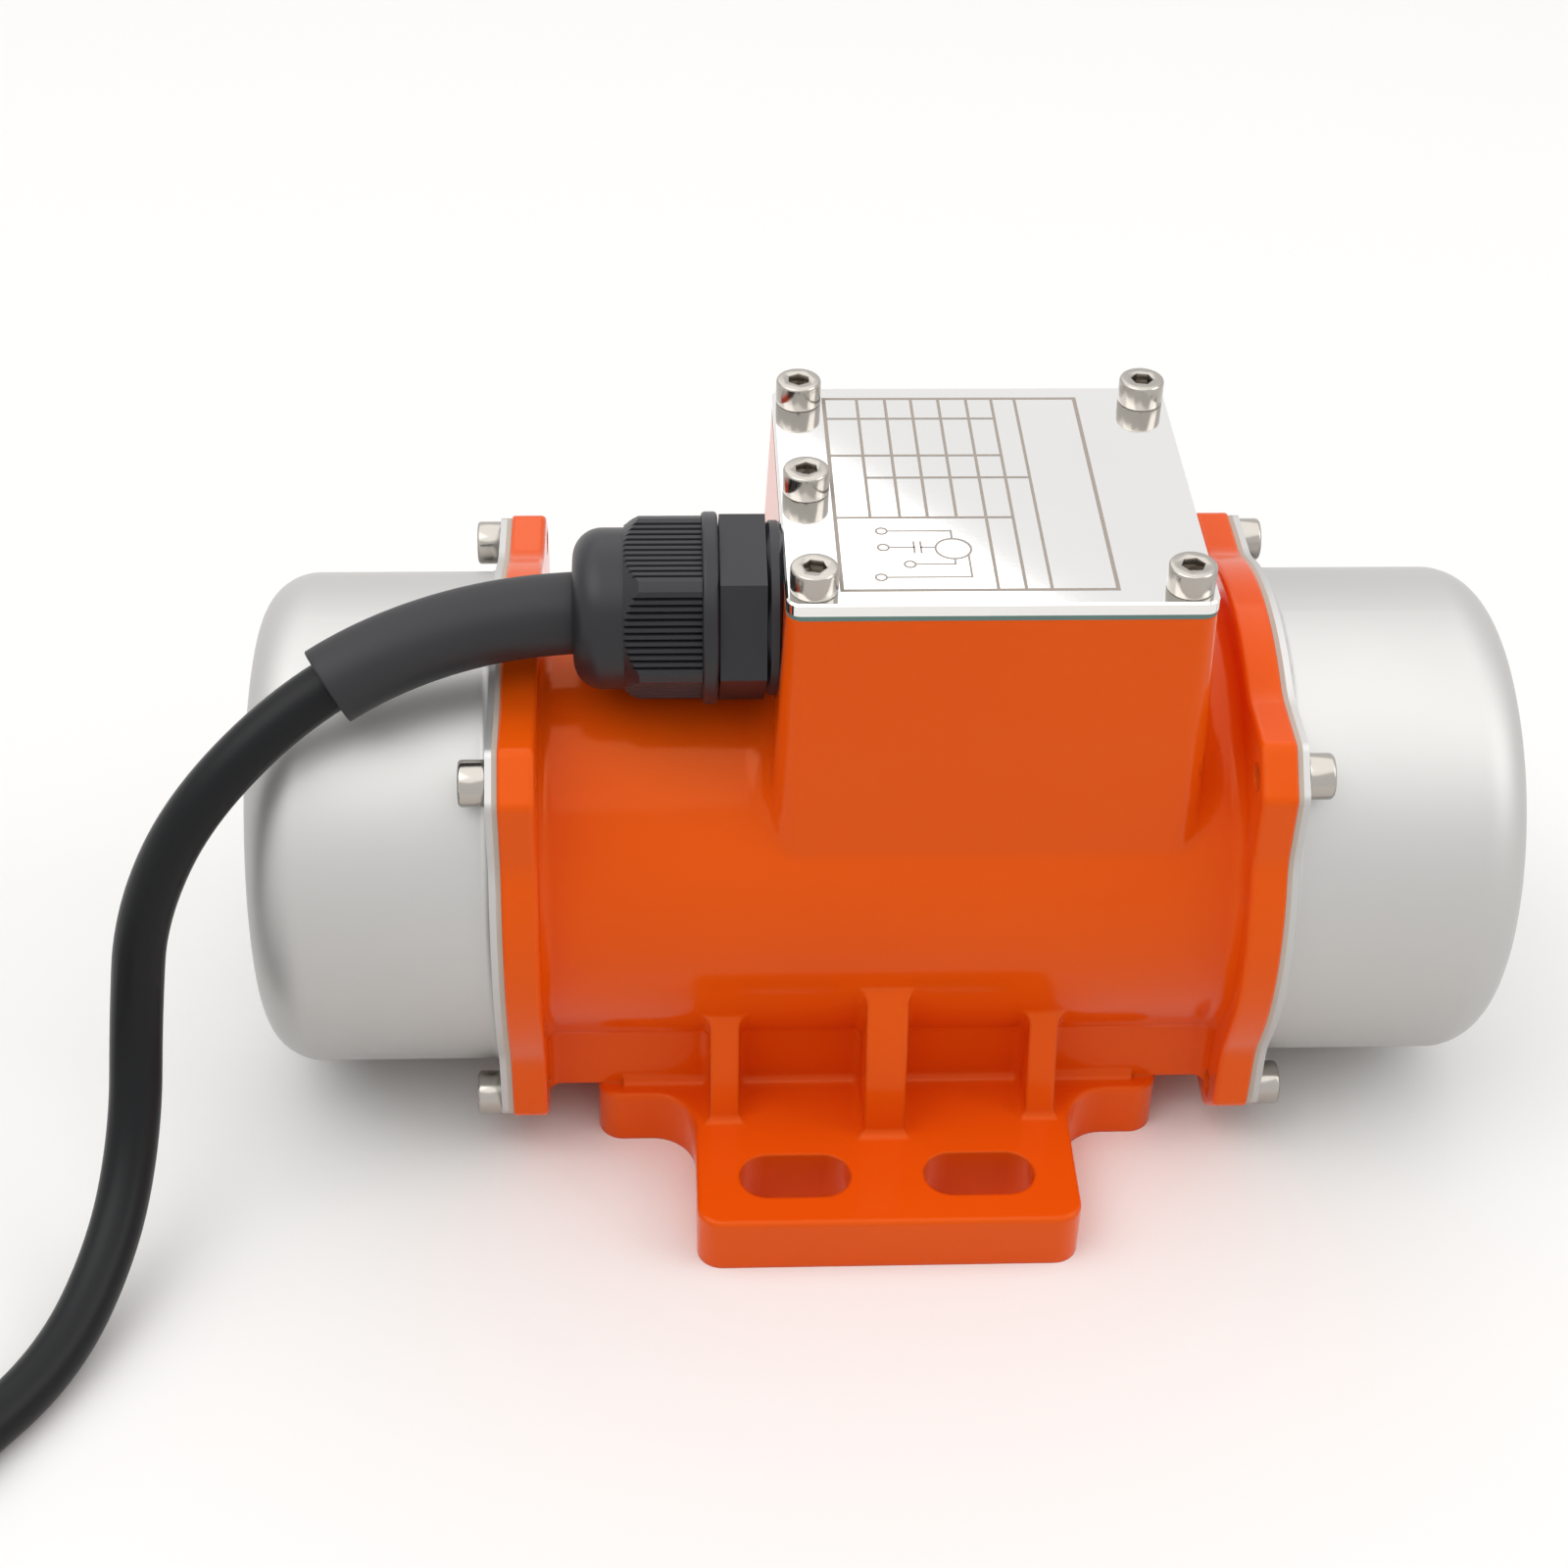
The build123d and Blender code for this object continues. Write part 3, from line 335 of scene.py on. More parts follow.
def makeFloor(look):
    deselectAll()
    bpy.ops.mesh.primitive_plane_add(size=look["floorSize"], location=(0, 0, 0))
    floor = bpy.context.active_object
    floor.name = "studioFloor"
    material, tree, shader = newMaterial("paleFloor", {
        "Roughness": look["floorRoughness"], "Specular IOR Level": look["floorGloss"],
        "Base Color": hexColour(look["floor"])})
    # away from the object the floor runs into plain white, as a studio sweep does
    reach = addNode(tree, "ShaderNodeVectorMath", {"operation": "LENGTH"}, {0: objectCoordinates(tree)})
    far = addNode(tree, "ShaderNodeMapRange",
                  {"interpolation_type": "SMOOTHSTEP", 1: look["fadeFrom"], 2: look["fadeTo"]},
                  {0: reach.outputs["Value"]})
    path = addNode(tree, "ShaderNodeLightPath")
    seen = addNode(tree, "ShaderNodeMath", {"operation": "MAXIMUM"},
                   {0: path.outputs["Is Camera Ray"], 1: path.outputs["Is Glossy Ray"]})
    share = addNode(tree, "ShaderNodeMath", {"operation": "MULTIPLY"},
                    {0: far.outputs[0], 1: seen.outputs[0]})
    white = addNode(tree, "ShaderNodeEmission", {"Color": hexColour(look["worldColour"]), "Strength": 1.0})
    mix = addNode(tree, "ShaderNodeMixShader", None,
                  {0: share.outputs[0], 1: shader.outputs[0], 2: white.outputs[0]})
    tree.links.new(mix.outputs[0], tree.nodes["Material Output"].inputs["Surface"])
    paint(floor, material)


def makeLamps(look):
    for name, lamp in look["lamps"].items():
        data = bpy.data.lights.new(name, "AREA")
        data.shape = "SQUARE"
        data.size = lamp["size"]
        data.energy = lamp["power"]
        light = bpy.data.objects.new(name, data)
        light.location = lamp["place"]
        way = Vector(look["aim"]) - Vector(lamp["place"])
        light.rotation_euler = way.to_track_quat("-Z", "Y").to_euler()
        bpy.context.scene.collection.objects.link(light)


def makeWorld(look):
    world = bpy.data.worlds.new("studioAir")
    bpy.context.scene.world = world
    world.use_nodes = True
    tree = world.node_tree
    tree.nodes.clear()
    # camera, glass and metal see plain white, and the object is lit by the dimmer air
    light = addNode(tree, "ShaderNodeBackground",
                    {"Color": hexColour(look["worldColour"]), "Strength": look["worldLight"]})
    seen = addNode(tree, "ShaderNodeBackground",
                   {"Color": hexColour(look["worldColour"]), "Strength": 1.0})
    path = addNode(tree, "ShaderNodeLightPath")
    direct = addNode(tree, "ShaderNodeMath", {"operation": "MAXIMUM"},
                     {0: path.outputs["Is Camera Ray"], 1: path.outputs["Is Transmission Ray"]})
    mirrored = addNode(tree, "ShaderNodeMath", {"operation": "MAXIMUM"},
                       {0: direct.outputs[0], 1: path.outputs["Is Glossy Ray"]})
    mix = addNode(tree, "ShaderNodeMixShader", None,
                  {0: mirrored.outputs[0], 1: light.outputs[0], 2: seen.outputs[0]})
    addNode(tree, "ShaderNodeOutputWorld", None, {"Surface": mix.outputs[0]})


makeFloor(studioLook)
makeLamps(studioLook)
makeWorld(studioLook)
print("studio lit")


# finishes

def blendColours(tree, shader, pattern, first, second):
    # the base colour runs from one colour to the other as the pattern says
    tint = addNode(tree, "ShaderNodeMix", {"data_type": "RGBA"}, {0: pattern.outputs["Fac"]})
    tint.inputs[6].default_value = first
    tint.inputs[7].default_value = second
    tree.links.new(tint.outputs[2], shader.inputs["Base Color"])


enamelLook = {
    "colour": "#E8590B",
    "deep": "#E35108",
    "roughness": 0.13,
    "gloss": 0.42,
    "glossTint": "#FFB283",
    "refraction": 1.5,
    "edge": 0.8 * mm,
    "edgeSamples": 6,
    "mottle": 38.5 * mm,
    "peel": 1.11 * mm,
    "peelDepth": 0.2 * mm,
    "peelStrength": 0.03,
    "nibGap": 6.25 * mm,
    "nibSize": 0.10,  # as a share of the gap between nibs
    "nibDepth": 0.15 * mm,
    "nibStrength": 0.5,
    "noNib": 0.93,  # share of the places that stay without one
}


def orangeEnamel(look):
    # glossy air-dried enamel over an aluminium casting: wet shine, faint orange peel and a few dust nibs
    material, tree, shader = newMaterial("orangeEnamel", {
        "Roughness": look["roughness"], "IOR": look["refraction"], "Specular IOR Level": look["gloss"],
        "Specular Tint": hexColour(look["glossTint"])})
    place = objectCoordinates(tree)
    cloud = addNode(tree, "ShaderNodeTexNoise", {"Scale": 1 / look["mottle"], "Detail": 3.0},
                    {"Vector": place})
    blendColours(tree, shader, cloud, hexColour(look["deep"]), hexColour(look["colour"]))
    peel = addNode(tree, "ShaderNodeTexNoise", {"Scale": 1 / look["peel"], "Detail": 1.0},
                   {"Vector": place})
    nib = addNode(tree, "ShaderNodeTexVoronoi", {"Scale": 1 / look["nibGap"]}, {"Vector": place})
    dot = addNode(tree, "ShaderNodeMapRange", {1: 0.0, 2: look["nibSize"], 3: 1.0, 4: 0.0},
                  {0: nib.outputs["Distance"]})
    draw = addNode(tree, "ShaderNodeSeparateColor", None, {0: nib.outputs["Color"]})
    rare = addNode(tree, "ShaderNodeMath", {"operation": "GREATER_THAN", 1: look["noNib"]},
                   {0: draw.outputs[0]})
    speck = addNode(tree, "ShaderNodeMath", {"operation": "MULTIPLY"},
                    {0: dot.outputs[0], 1: rare.outputs[0]})
    edge = addNode(tree, "ShaderNodeBevel", {"Radius": look["edge"], "samples": look["edgeSamples"]})
    skin = addNode(tree, "ShaderNodeBump",
                   {"Strength": look["peelStrength"], "Distance": look["peelDepth"]},
                   {"Height": peel.outputs["Fac"], "Normal": edge.outputs[0]})
    bump = addNode(tree, "ShaderNodeBump",
                   {"Strength": look["nibStrength"], "Distance": look["nibDepth"]},
                   {"Height": speck.outputs[0], "Normal": skin.outputs[0]})
    tree.links.new(bump.outputs[0], shader.inputs["Normal"])
    return material


satinLook = {
    "colour": "#BEBDBB",
    "roughness": 0.5,
    "smoother": 0.03,
    "rougher": 0.07,
    "stain": 45.5 * mm,
    "stainRange": (0.3, 0.7),
    "line": 0.35 * mm,
    "lineStretch": 0.9 * mm,  # pattern passed in each radian round the axis: little, so the lines are long
    "lineDepth": 0.05 * mm,
    "lineStrength": 0.05,
    "axisHeight": 43 * mm,
}


def satinStainless(look):
    # drawn stainless sheet, dulled on a lathe with an abrasive pad: fine rings round the axis, wide soft shine
    material, tree, shader = newMaterial("satinStainless", {
        "Metallic": 1.0, "Roughness": look["roughness"], "Base Color": hexColour(look["colour"])})
    place = objectCoordinates(tree)
    axis = addNode(tree, "ShaderNodeMapping", {"Location": (0, 0, -look["axisHeight"])}, {"Vector": place})
    parts = addNode(tree, "ShaderNodeSeparateXYZ", None, {0: axis.outputs[0]})
    flat = addNode(tree, "ShaderNodeCombineXYZ", {0: 0.0}, {1: parts.outputs[1], 2: parts.outputs[2]})
    reach = addNode(tree, "ShaderNodeVectorMath", {"operation": "LENGTH"}, {0: flat.outputs[0]})
    turn = addNode(tree, "ShaderNodeMath", {"operation": "ARCTAN2"},
                   {0: parts.outputs[1], 1: parts.outputs[2]})
    slow = addNode(tree, "ShaderNodeMath", {"operation": "MULTIPLY", 1: look["lineStretch"]},
                   {0: turn.outputs[0]})
    brush = addNode(tree, "ShaderNodeCombineXYZ", None,
                    {0: parts.outputs[0], 1: reach.outputs["Value"], 2: slow.outputs[0]})
    rings = addNode(tree, "ShaderNodeTexNoise", {"Scale": 1 / look["line"], "Detail": 2.0},
                    {"Vector": brush.outputs[0]})
    stain = addNode(tree, "ShaderNodeTexNoise", {"Scale": 1 / look["stain"], "Detail": 4.0},
                    {"Vector": place})
    low, high = look["stainRange"]
    rough = addNode(tree, "ShaderNodeMapRange",
                    {1: low, 2: high, 3: look["roughness"] - look["smoother"],
                     4: look["roughness"] + look["rougher"]}, {0: stain.outputs["Fac"]})
    tree.links.new(rough.outputs[0], shader.inputs["Roughness"])
    bump = addNode(tree, "ShaderNodeBump",
                   {"Strength": look["lineStrength"], "Distance": look["lineDepth"]},
                   {"Height": rings.outputs["Fac"]})
    tree.links.new(bump.outputs[0], shader.inputs["Normal"])
    return material


plainLook = {"cloud": 16.7 * mm, "grainStrength": 0.25}


def plainFinish(name, colour, settings, grain, depth, spread=0.12):
    # a finish with slightly uneven colour, and a grain of that size and depth
    material, tree, shader = newMaterial(name, settings)
    place = objectCoordinates(tree)
    cloud = addNode(tree, "ShaderNodeTexNoise", {"Scale": 1 / plainLook["cloud"], "Detail": 3.0},
                    {"Vector": place})
    base = hexColour(colour)[:3]
    blendColours(tree, shader, cloud, (*[c * (1 - spread) for c in base], 1),
                 (*[min(1, c * (1 + spread)) for c in base], 1))
    fine = addNode(tree, "ShaderNodeTexNoise", {"Scale": 1 / grain, "Detail": 2.0}, {"Vector": place})
    bump = addNode(tree, "ShaderNodeBump", {"Strength": plainLook["grainStrength"], "Distance": depth},
                   {"Height": fine.outputs["Fac"]})
    tree.links.new(bump.outputs[0], shader.inputs["Normal"])
    return material


def metal(roughness, metallic=1.0):
    return {"Metallic": metallic, "Roughness": roughness}


def plastic(roughness, gloss=0.5):
    return {"Roughness": roughness, "Specular IOR Level": gloss}


finishes = {
    "orange_enamel": orangeEnamel(enamelLook),
    "satin_stainless": satinStainless(satinLook),
    # mirror-polished stainless sheet: it gives the room back almost sharp
    "polished_stainless": plainFinish(
        "polishedStainless", "#E8E7E5", metal(0.06), 0.6 * mm, 0.004 * mm, 0.02),
    # turned and tumbled stainless: warm grey with small soft glints
    "screw_stainless": plainFinish(
        "screwStainless", "#ADA8A1", metal(0.2), 0.4 * mm, 0.01 * mm, 0.04),
    # pale fibre gasket: dull, a light line between sheet and casting
    "cap_gasket_rubber": plainFinish("capGasket", "#B9AC9F", plastic(0.8), 0.3 * mm, 0.05 * mm),
    # gasket cut from rubber sheet: dull green-grey
    "cover_gasket_rubber": plainFinish("coverGasket", "#5E7C76", plastic(0.7), 0.3 * mm, 0.05 * mm),
    # die-cast aluminium, bare: pale with a skin that scatters the light
    "cast_aluminium": plainFinish("castAluminium", "#B4B4B3", metal(0.45), 0.5 * mm, 0.08 * mm),
    # hardened and ground bearing steel: near mirror
    "bearing_steel": plainFinish(
        "bearingSteel", "#C9CBCD", metal(0.14), 0.3 * mm, 0.004 * mm, 0.03),
    # pressed brass: warm with a satin shine
    "cage_brass": plainFinish("cageBrass", "#D3AC5C", metal(0.3), 0.3 * mm, 0.01 * mm),
    # stacked silicon steel sheet: dark grey, fine ridges
    "core_steel": plainFinish("coreSteel", "#6E7074", metal(0.5), 0.5 * mm, 0.1 * mm),
    # lacquered copper wire: red-brown, ridges as wide as the wire
    "copper_winding": plainFinish("copperWinding", "#B5652F", metal(0.35, 0.7), 0.9 * mm, 0.3 * mm),
    # turned steel: clean grey shine
    "shaft_steel": plainFinish("shaftSteel", "#B9BABB", metal(0.25), 0.3 * mm, 0.01 * mm),
    # blackened steel plate: dark with a dull shine
    "weight_steel": plainFinish("weightSteel", "#55565A", metal(0.42, 0.9), 0.5 * mm, 0.04 * mm),
    # moulded polyamide: black with a soft highlight from the tool's fine texture
    "black_nylon": plainFinish("blackNylon", "#1F1F23", plastic(0.38, 0.4), 0.35 * mm, 0.03 * mm),
    # moulded rubber: black and dull
    "seal_rubber": plainFinish("sealRubber", "#1B1B1C", plastic(0.75), 0.3 * mm, 0.04 * mm),
    # extruded rubber tube: dark grey, duller than the cable in it
    "sleeve_rubber": plainFinish("sleeveRubber", "#222225", plastic(0.5, 0.4), 0.35 * mm, 0.04 * mm),
    # soft PVC jacket: near black with a long narrow highlight
    "cable_jacket": plainFinish("cableJacket", "#111214", plastic(0.36, 0.2), 0.5 * mm, 0.03 * mm),
    # moulded polyamide of a terminal block: milky white
    "white_nylon": plainFinish("whiteNylon", "#E4E2DA", plastic(0.4), 0.4 * mm, 0.02 * mm, 0.03),
    # moulded capacitor case: black with a clear shine
    "capacitor_case": plainFinish("capacitorCase", "#24262B", plastic(0.3), 0.5 * mm, 0.02 * mm),
    # turned brass: bright yellow
    "terminal_brass": plainFinish("terminalBrass", "#D8B765", metal(0.25), 0.3 * mm, 0.01 * mm),
    # PVC insulation of the wires in the box: brown, smooth
    "core_insulation": plainFinish("coreInsulation", "#6B4226", plastic(0.45), 0.4 * mm, 0.02 * mm),
    # tinned copper: pale and soft
    "tinned_copper": plainFinish("tinnedCopper", "#C9BFB0", metal(0.3), 0.3 * mm, 0.01 * mm),
}


coreLook = {
    "brown": "#5C3620",
    "blue": "#2C5A9A",
    "green": "#5B8F3E",
    "blueFrom": 40.9 * mm,
    "greenFrom": 43.1 * mm,
    "roughness": 0.4,
}


def coreColours(look, centre):
    # PVC-insulated cores, smooth and one colour each, told apart by how far they lie from the coil's centre
    material, tree, shader = newMaterial("coreColours", {"Roughness": look["roughness"]})
    place = addNode(tree, "ShaderNodeMapping", {"Location": (-centre[0] * mm, -centre[1] * mm, 0)},
                    {"Vector": objectCoordinates(tree)})
    parts = addNode(tree, "ShaderNodeSeparateXYZ", None, {0: place.outputs[0]})
    flat = addNode(tree, "ShaderNodeCombineXYZ", None, {0: parts.outputs[0], 1: parts.outputs[1]})
    reach = addNode(tree, "ShaderNodeVectorMath", {"operation": "LENGTH"}, {0: flat.outputs[0]})
    mixes = []
    for name in ("blue", "green"):
        past = addNode(tree, "ShaderNodeMath", {"operation": "GREATER_THAN", 1: look[name + "From"]},
                       {0: reach.outputs["Value"]})
        mix = addNode(tree, "ShaderNodeMix", {"data_type": "RGBA"}, {0: past.outputs[0]})
        mix.inputs[6].default_value = hexColour(look["brown"])
        mix.inputs[7].default_value = hexColour(look[name])
        mixes.append(mix)
    tree.links.new(mixes[0].outputs[2], mixes[1].inputs[6])
    tree.links.new(mixes[1].outputs[2], shader.inputs["Base Color"])
    return material


def dressFrame():
    # every part of the frame takes the finish of its material slot
    for sub in record["subparts"]:
        paint(nodes[sub["node"]], finishes[sub["material_slot"]])
    paint(nodes["cable_cores"], coreColours(coreLook, coilCentre(cableLook)))


dressFrame()
print("finishes applied")


# M4 socket cap screws: turned heads with a rounded rim, a hexagon socket and its drill point

screwLook = {
    "headRadius": 3.5 * mm,
    "headHeight": 4.0 * mm,
    "rim": 0.5 * mm,
    "rimSteps": 4,
    "edgeSteps": 2,
    "socketFlats": 3.0 * mm,
    "socketDepth": 2.1 * mm,
    "socketLead": 0.25 * mm,
    "drillPoint": 0.5 * mm,
    "shankRadius": 1.95 * mm,
    "sides": 48,
    "firstTurn": 17,  # degrees that the sockets stand turned: each screw was tightened as it came
    "nextTurn": 41,
}


def screwSocket(look):
    # the cutter for the socket: a hexagon bar with a drill point at its foot
    radius = look["socketFlats"] / 2 / math.cos(math.radians(30))
    depth = look["socketDepth"] + look["rim"]
    deselectAll()
    bpy.ops.mesh.primitive_cylinder_add(
        vertices=6, radius=radius, depth=depth,
        location=(0, 0, look["headHeight"] - look["socketDepth"] + depth / 2))
    cutter = bakePlace(bpy.context.active_object)
    editPart(cutter, "FACE", lambda face: face.normal.z < -0.9)
    bpy.ops.mesh.extrude_region_move(TRANSFORM_OT_translate={"value": (0, 0, -look["drillPoint"])})
    bpy.ops.mesh.merge(type="CENTER")
    leaveEdit()
    return cutter


def makeScrew(look, length):
    # one screw standing on its seat at the origin, its shank below
    deselectAll()
    bpy.ops.mesh.primitive_cylinder_add(
        vertices=look["sides"], radius=look["headRadius"], depth=look["headHeight"],
        location=(0, 0, look["headHeight"] / 2))
    screw = bakePlace(bpy.context.active_object)
    editPart(screw, "FACE", lambda face: face.normal.z < -0.9)
    bpy.ops.mesh.inset(thickness=look["headRadius"] - look["shankRadius"])
    bpy.ops.mesh.extrude_region_move(TRANSFORM_OT_translate={"value": (0, 0, -length)})
    leaveEdit()
    top = look["headHeight"]
    editPart(screw, "EDGE", lambda edge: all(abs(v.co.z - top) < nearly for v in edge.verts))
    bpy.ops.mesh.bevel(offset=look["rim"], segments=look["rimSteps"], affect="EDGES")
    leaveEdit()
    editPart(screw, "EDGE", lambda edge: all(
        abs(v.co.z) < nearly and v.co.xy.length > look["headRadius"] - nearly for v in edge.verts))
    bpy.ops.mesh.bevel(offset=look["rim"] / 2, segments=look["edgeSteps"], affect="EDGES")
    leaveEdit()
    cutter = screwSocket(look)
    cut = screw.modifiers.new("socket", "BOOLEAN")
    cut.operation = "DIFFERENCE"
    cut.solver = "EXACT"
    cut.object = cutter
    applyModifiers(screw)
    bpy.data.objects.remove(cutter)
    editPart(screw, "EDGE", lambda edge: all(
        abs(v.co.z - top) < nearly and v.co.xy.length < look["socketFlats"] for v in edge.verts))
    bpy.ops.mesh.bevel(offset=look["socketLead"], segments=look["edgeSteps"], affect="EDGES")
    leaveEdit()
    smooth(screw)
    return screw


def screwPlaces(node, look, across):
    # seats of the screws at the corners of a node's box, on the side where their heads show
    low, high = [Vector(corner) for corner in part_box(node)]
    inset = look["headRadius"]
    axis = "XYZ".index(across.strip("-"))
    seat = low[axis] + look["headHeight"] if across.startswith("-") else high[axis] - look["headHeight"]
    others = [i for i in range(3) if i != axis]
    places = []
    for a in (low[others[0]] + inset, high[others[0]] - inset):
        for b in (low[others[1]] + inset, high[others[1]] - inset):
            place = Vector((0, 0, 0))
            place[axis], place[others[0]], place[others[1]] = seat, a, b
            places.append(place)
    return places


def dressScrews(node, name, across, screw, extra=()):
    # a copy of the screw on every seat, all joined in one piece that takes the node's place
    places = screwPlaces(node, screwLook, across) + [Vector(place) for place in extra]
    upright = {"Z": (0, 0, 1), "X": (1, 0, 0), "-X": (-1, 0, 0)}[across]
    aim = Vector((0, 0, 1)).rotation_difference(Vector(upright)).to_matrix().to_4x4()
    pieces = []
    for number, place in enumerate(places):
        turn = math.radians(screwLook["firstTurn"] + screwLook["nextTurn"] * number)
        spin = Matrix.Rotation(turn, 4, "Z")
        pieces.append(copyPiece(screw, name + str(number), Matrix.Translation(place) @ aim @ spin))
    whole = joinPieces(pieces, name)
    rideAndSlot(whole, "screw_stainless")
    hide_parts(node)


def makeScrews():
    low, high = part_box("cover_screws")
    screw = makeScrew(screwLook, high[2] - low[2] - screwLook["headHeight"])
    middle = (low[0] + screwLook["headRadius"], (low[1] + high[1]) / 2, high[2] - screwLook["headHeight"])
    dressScrews("cover_screws", "coverScrews", "Z", screw, [middle])
    bpy.data.objects.remove(screw)
    low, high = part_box("cap_screws_right")
    screw = makeScrew(screwLook, high[0] - low[0] - screwLook["headHeight"])
    dressScrews("cap_screws_right", "capScrewsRight", "X", screw)
    dressScrews("cap_screws_left", "capScrewsLeft", "-X", screw)
    bpy.data.objects.remove(screw)


makeScrews()
print("screws made")


# rubber sleeve: a straight-cut tube pushed over the cable and into the gland

sleeveLook = {
    "radius": 6.1 * mm,
    "bore": 4.05 * mm,
    "from": 3.0 * mm,
    "to": 66.0 * mm,
    "sides": 40,
    "rings": 48,
    "mouth": 0.3 * mm,
    "mouthSteps": 3,
    "sharp": 50,  # degrees, from which an edge counts as one
}


def alongLine(line, distance):
    # the point on a line of points at a distance from its start, and the way that the line runs there
    for a, b in zip(line, line[1:]):
        step = (b - a).length
        if distance <= step:
            return a.lerp(b, distance / step), (b - a).normalized()
        distance -= step
    return line[-1], (line[-1] - line[-2]).normalized()


def makeSleeve(look, line):
    # a flat ring is drawn along the cable's line ring by ring, then walled and its ends rounded
    deselectAll()
    bpy.ops.mesh.primitive_circle_add(vertices=look["sides"], radius=look["radius"], fill_type="NOTHING")
    sleeve = bpy.context.active_object
    place, way = alongLine(line, look["from"])
    aim = Vector((0, 0, 1)).rotation_difference(way)
    sleeve.data.transform(Matrix.Translation(place) @ aim.to_matrix().to_4x4())
    editPart(sleeve, "EDGE", lambda edge: True)
    for ring in range(1, look["rings"] + 1):
        share = ring / look["rings"]
        nextPlace, nextWay = alongLine(line, look["from"] + share * (look["to"] - look["from"]))
        bpy.ops.mesh.extrude_region_move(TRANSFORM_OT_translate={"value": nextPlace - place})
        turn = way.rotation_difference(nextWay).to_matrix().to_4x4()
        shape = bmesh.from_edit_mesh(sleeve.data)
        about = Matrix.Translation(nextPlace) @ turn @ Matrix.Translation(-nextPlace)
        bmesh.ops.transform(shape, matrix=about, verts=[v for v in shape.verts if v.select])
        bmesh.update_edit_mesh(sleeve.data)
        place, way = nextPlace, nextWay
    bpy.ops.mesh.select_all(action="SELECT")
    bpy.ops.mesh.normals_make_consistent(inside=False)
    leaveEdit()
    wall = sleeve.modifiers.new("wall", "SOLIDIFY")
    wall.thickness = look["radius"] - look["bore"]
    wall.offset = -1
    applyModifiers(sleeve)
    rim = sleeve.modifiers.new("rim", "BEVEL")
    rim.width = look["mouth"]
    rim.segments = look["mouthSteps"]
    rim.limit_method = "ANGLE"
    rim.angle_limit = math.radians(look["sharp"])
    applyModifiers(sleeve)
    smooth(sleeve, look["sharp"])
    sleeve.name = "cableSleeve"
    rideAndSlot(sleeve, "sleeve_rubber")
    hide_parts("cable_sleeve")
    return sleeve


cableSleeve = makeSleeve(sleeveLook, cableRun)
print("sleeve made")


# the cover's etched table and wiring sketch: rules only, no words

etchLook = {
    "frameLine": 0.598 * mm,
    "line": 0.46 * mm,
    "thinLine": 0.3 * mm,
    "proud": 0.02 * mm,
    "step": 0.004 * mm,
    "ringSides": 40,
    "tones": ("#968C83", "#ABA198"),
    "roughness": 0.7,
    "gloss": 0.2,
    "fleck": 0.5 * mm,
    "left": -9.0,
    "right": 30.6,
    "front": -26.4,
    "back": 26.6,
    "columns": {  # x of each upright rule: how far back and how far forward it runs
        -3.8: (26.6, -7.5),
        0.6: (26.6, -7.5),
        4.7: (26.6, -7.5),
        9.0: (26.6, -7.5),
        13.4: (26.6, -26.4),
        17.4: (26.6, -26.4),
        21.1: (26.6, -26.4),
    },
    "rows": {  # y of each cross rule: where it starts and ends
        20.6: (-9.0, 17.4),
        9.8: (-9.0, 17.4),
        3.5: (-3.8, 21.1),
        -7.5: (-9.0, 17.4),
    },
    "coil": (7.8, -15.8, 2.6),
    "pins": [(-2.4, -11.1), (-2.4, -15.4), (1.2, -19.8), (-3.2, -23.1)],
    "pinRadius": 0.8,
    "wires": [  # the sketch: two leads to the coil, and a third through a capacitor
        [(-1.6, -11.1), (7.8, -11.1), (7.8, -13.2)],
        [(-1.6, -15.4), (2.1, -15.4)],
        [(3.1, -15.4), (5.2, -15.4)],
        [(2.1, -14.0), (2.1, -16.8)],
        [(3.1, -14.0), (3.1, -16.8)],
        [(2.0, -19.8), (7.8, -19.8), (7.8, -18.4)],
        [(-2.4, -23.1), (9.9, -23.1), (9.9, -17.3)],
    ],
}


def etchedRule(start, end, width, height):
    # one rule: a flat bar from point to point, at that height
    a, b = Vector((*start, 0)) * mm, Vector((*end, 0)) * mm
    deselectAll()
    bpy.ops.mesh.primitive_plane_add(size=1)
    bar = bpy.context.active_object
    bar.scale = ((b - a).length + width, width, 1)
    bar.rotation_euler = (0, 0, math.atan2(b.y - a.y, b.x - a.x))
    bar.location = ((a.x + b.x) / 2, (a.y + b.y) / 2, height)
    return bakePlace(bar)


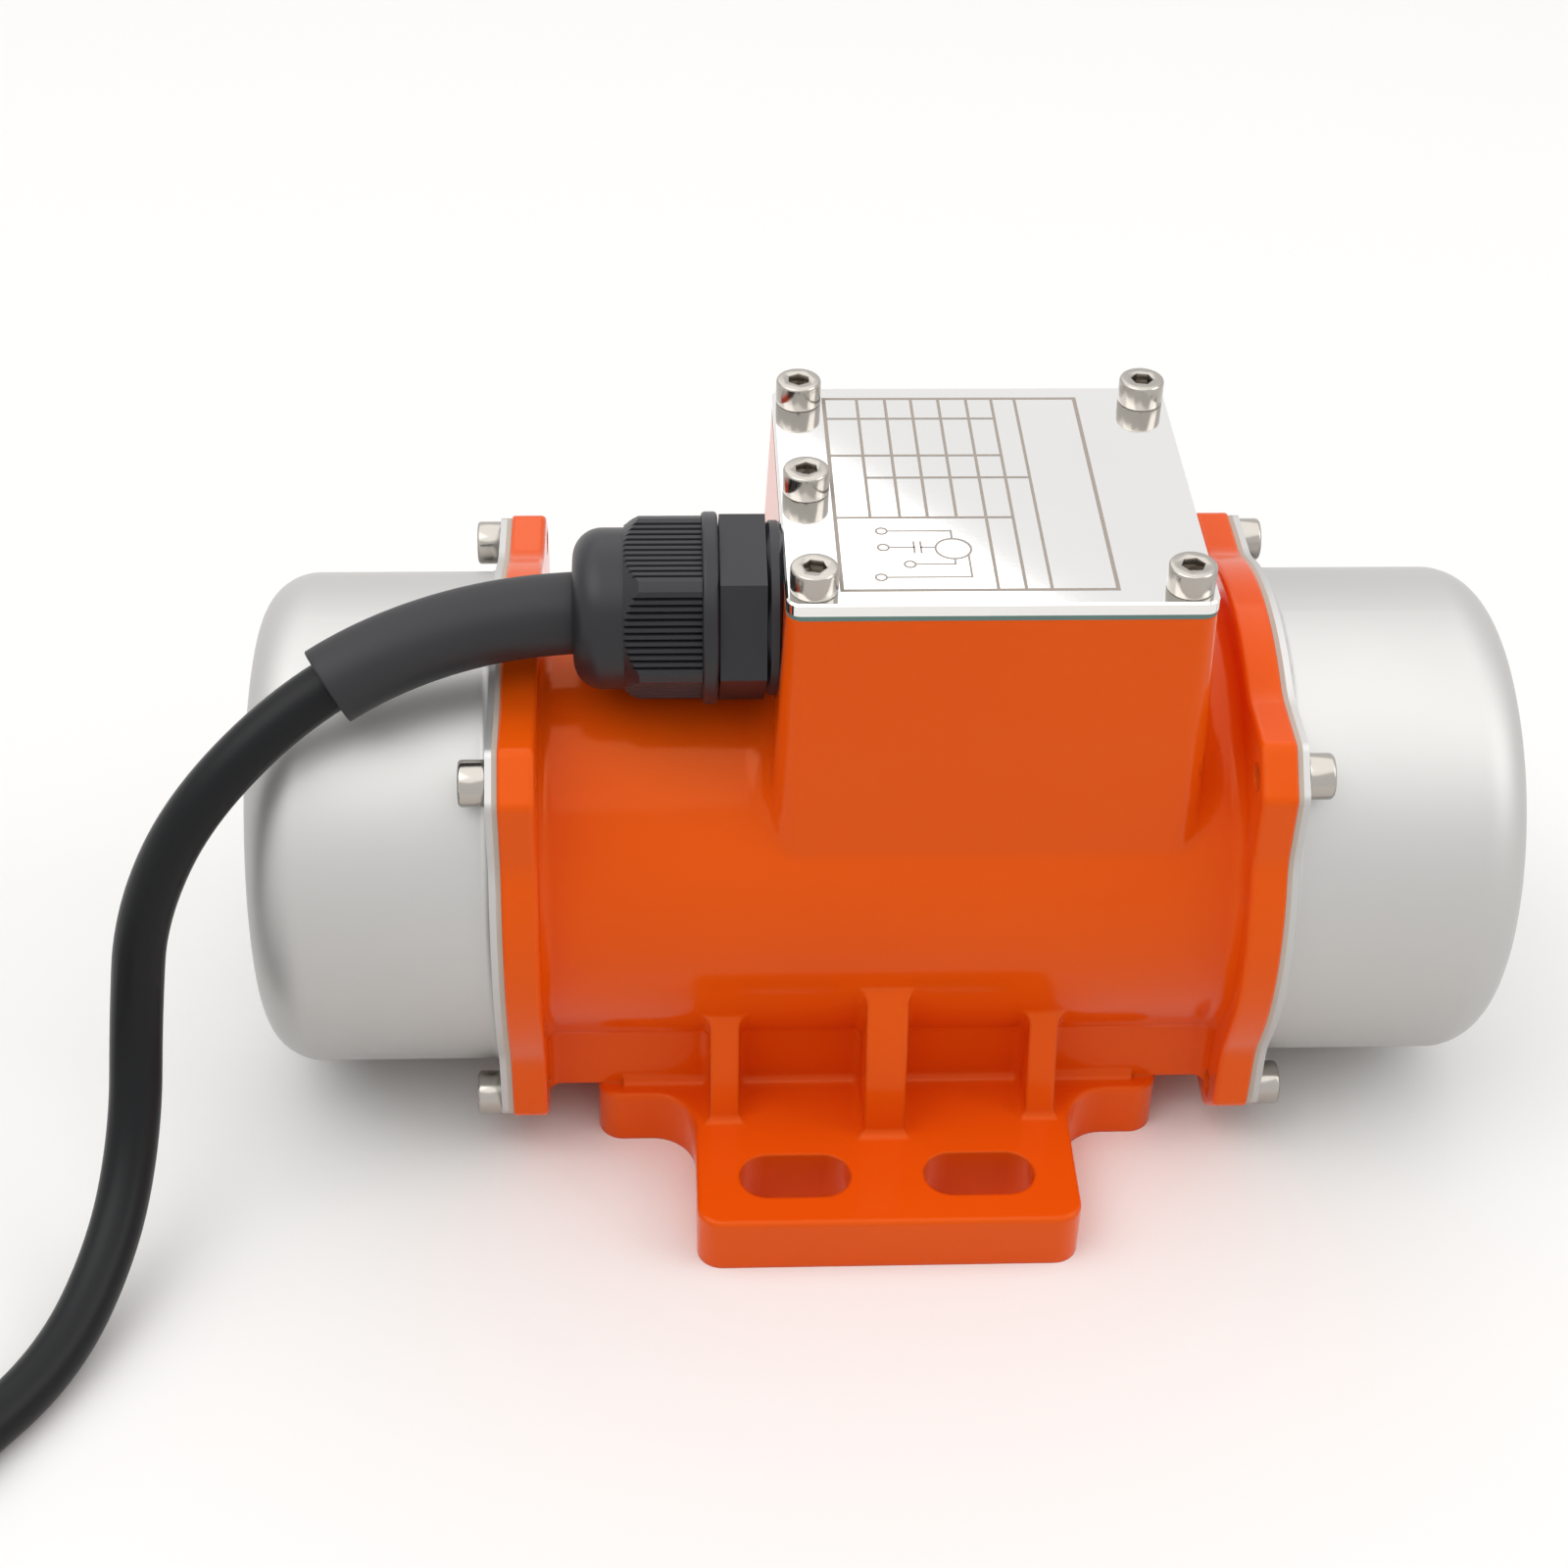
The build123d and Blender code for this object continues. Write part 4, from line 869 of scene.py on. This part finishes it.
def etchedRing(x, y, radius, sides, width, height):
    # one ring: a disc inset by the line's width, its middle taken out
    deselectAll()
    bpy.ops.mesh.primitive_circle_add(vertices=sides, radius=radius * mm + width / 2, fill_type="NGON",
                                      location=(x * mm, y * mm, height))
    ring = bakePlace(bpy.context.active_object)
    editPart(ring, "FACE", lambda face: True)
    bpy.ops.mesh.inset(thickness=width)
    bpy.ops.mesh.delete(type="FACE")
    leaveEdit()
    return ring


def makeEtching(look):
    # each set of rules lies a hair above the last, so that no two faces share a plane
    levels = [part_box("terminal_cover")[1][2] + look["proud"] + look["step"] * number for number in range(4)]
    corners = [(look["left"], look["front"]), (look["right"], look["front"]),
               (look["right"], look["back"]), (look["left"], look["back"])]
    bars = [etchedRule(a, b, look["frameLine"], levels[number % 2])
            for number, (a, b) in enumerate(zip(corners, corners[1:] + corners[:1]))]
    bars += [etchedRule((x, a), (x, b), look["line"], levels[2]) for x, (a, b) in look["columns"].items()]
    bars += [etchedRule((a, y), (b, y), look["line"], levels[3]) for y, (a, b) in look["rows"].items()]
    for wire in look["wires"]:
        bars += [etchedRule(a, b, look["thinLine"], levels[number])
                 for number, (a, b) in enumerate(zip(wire, wire[1:]))]
    rings = [look["coil"]] + [(x, y, look["pinRadius"]) for x, y in look["pins"]]
    bars += [etchedRing(*ring, look["ringSides"], look["thinLine"], levels[3]) for ring in rings]
    etching = joinPieces(bars, "coverEtching")
    edge = etching.modifiers.new("depth", "SOLIDIFY")
    edge.thickness = look["proud"] / 2
    edge.offset = -1
    applyModifiers(etching)
    # acid-etched stainless: the bitten line is dull and grey-brown, with a fine fleck
    etched, tree, shader = newMaterial("etchedStainless", {
        "Roughness": look["roughness"], "Specular IOR Level": look["gloss"]})
    fleck = addNode(tree, "ShaderNodeTexNoise", {"Scale": 1 / look["fleck"], "Detail": 2.0},
                    {"Vector": objectCoordinates(tree)})
    blendColours(tree, shader, fleck, *[hexColour(tone) for tone in look["tones"]])
    paint(etching, etched)
    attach(etching, "motor_body")


makeEtching(etchLook)
print("cover etched")


# the cable's finish and its place in the assembly

paint(supplyCable, finishes["cable_jacket"])
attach(supplyCable, "motor_body")
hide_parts("cable", "cable_coil")
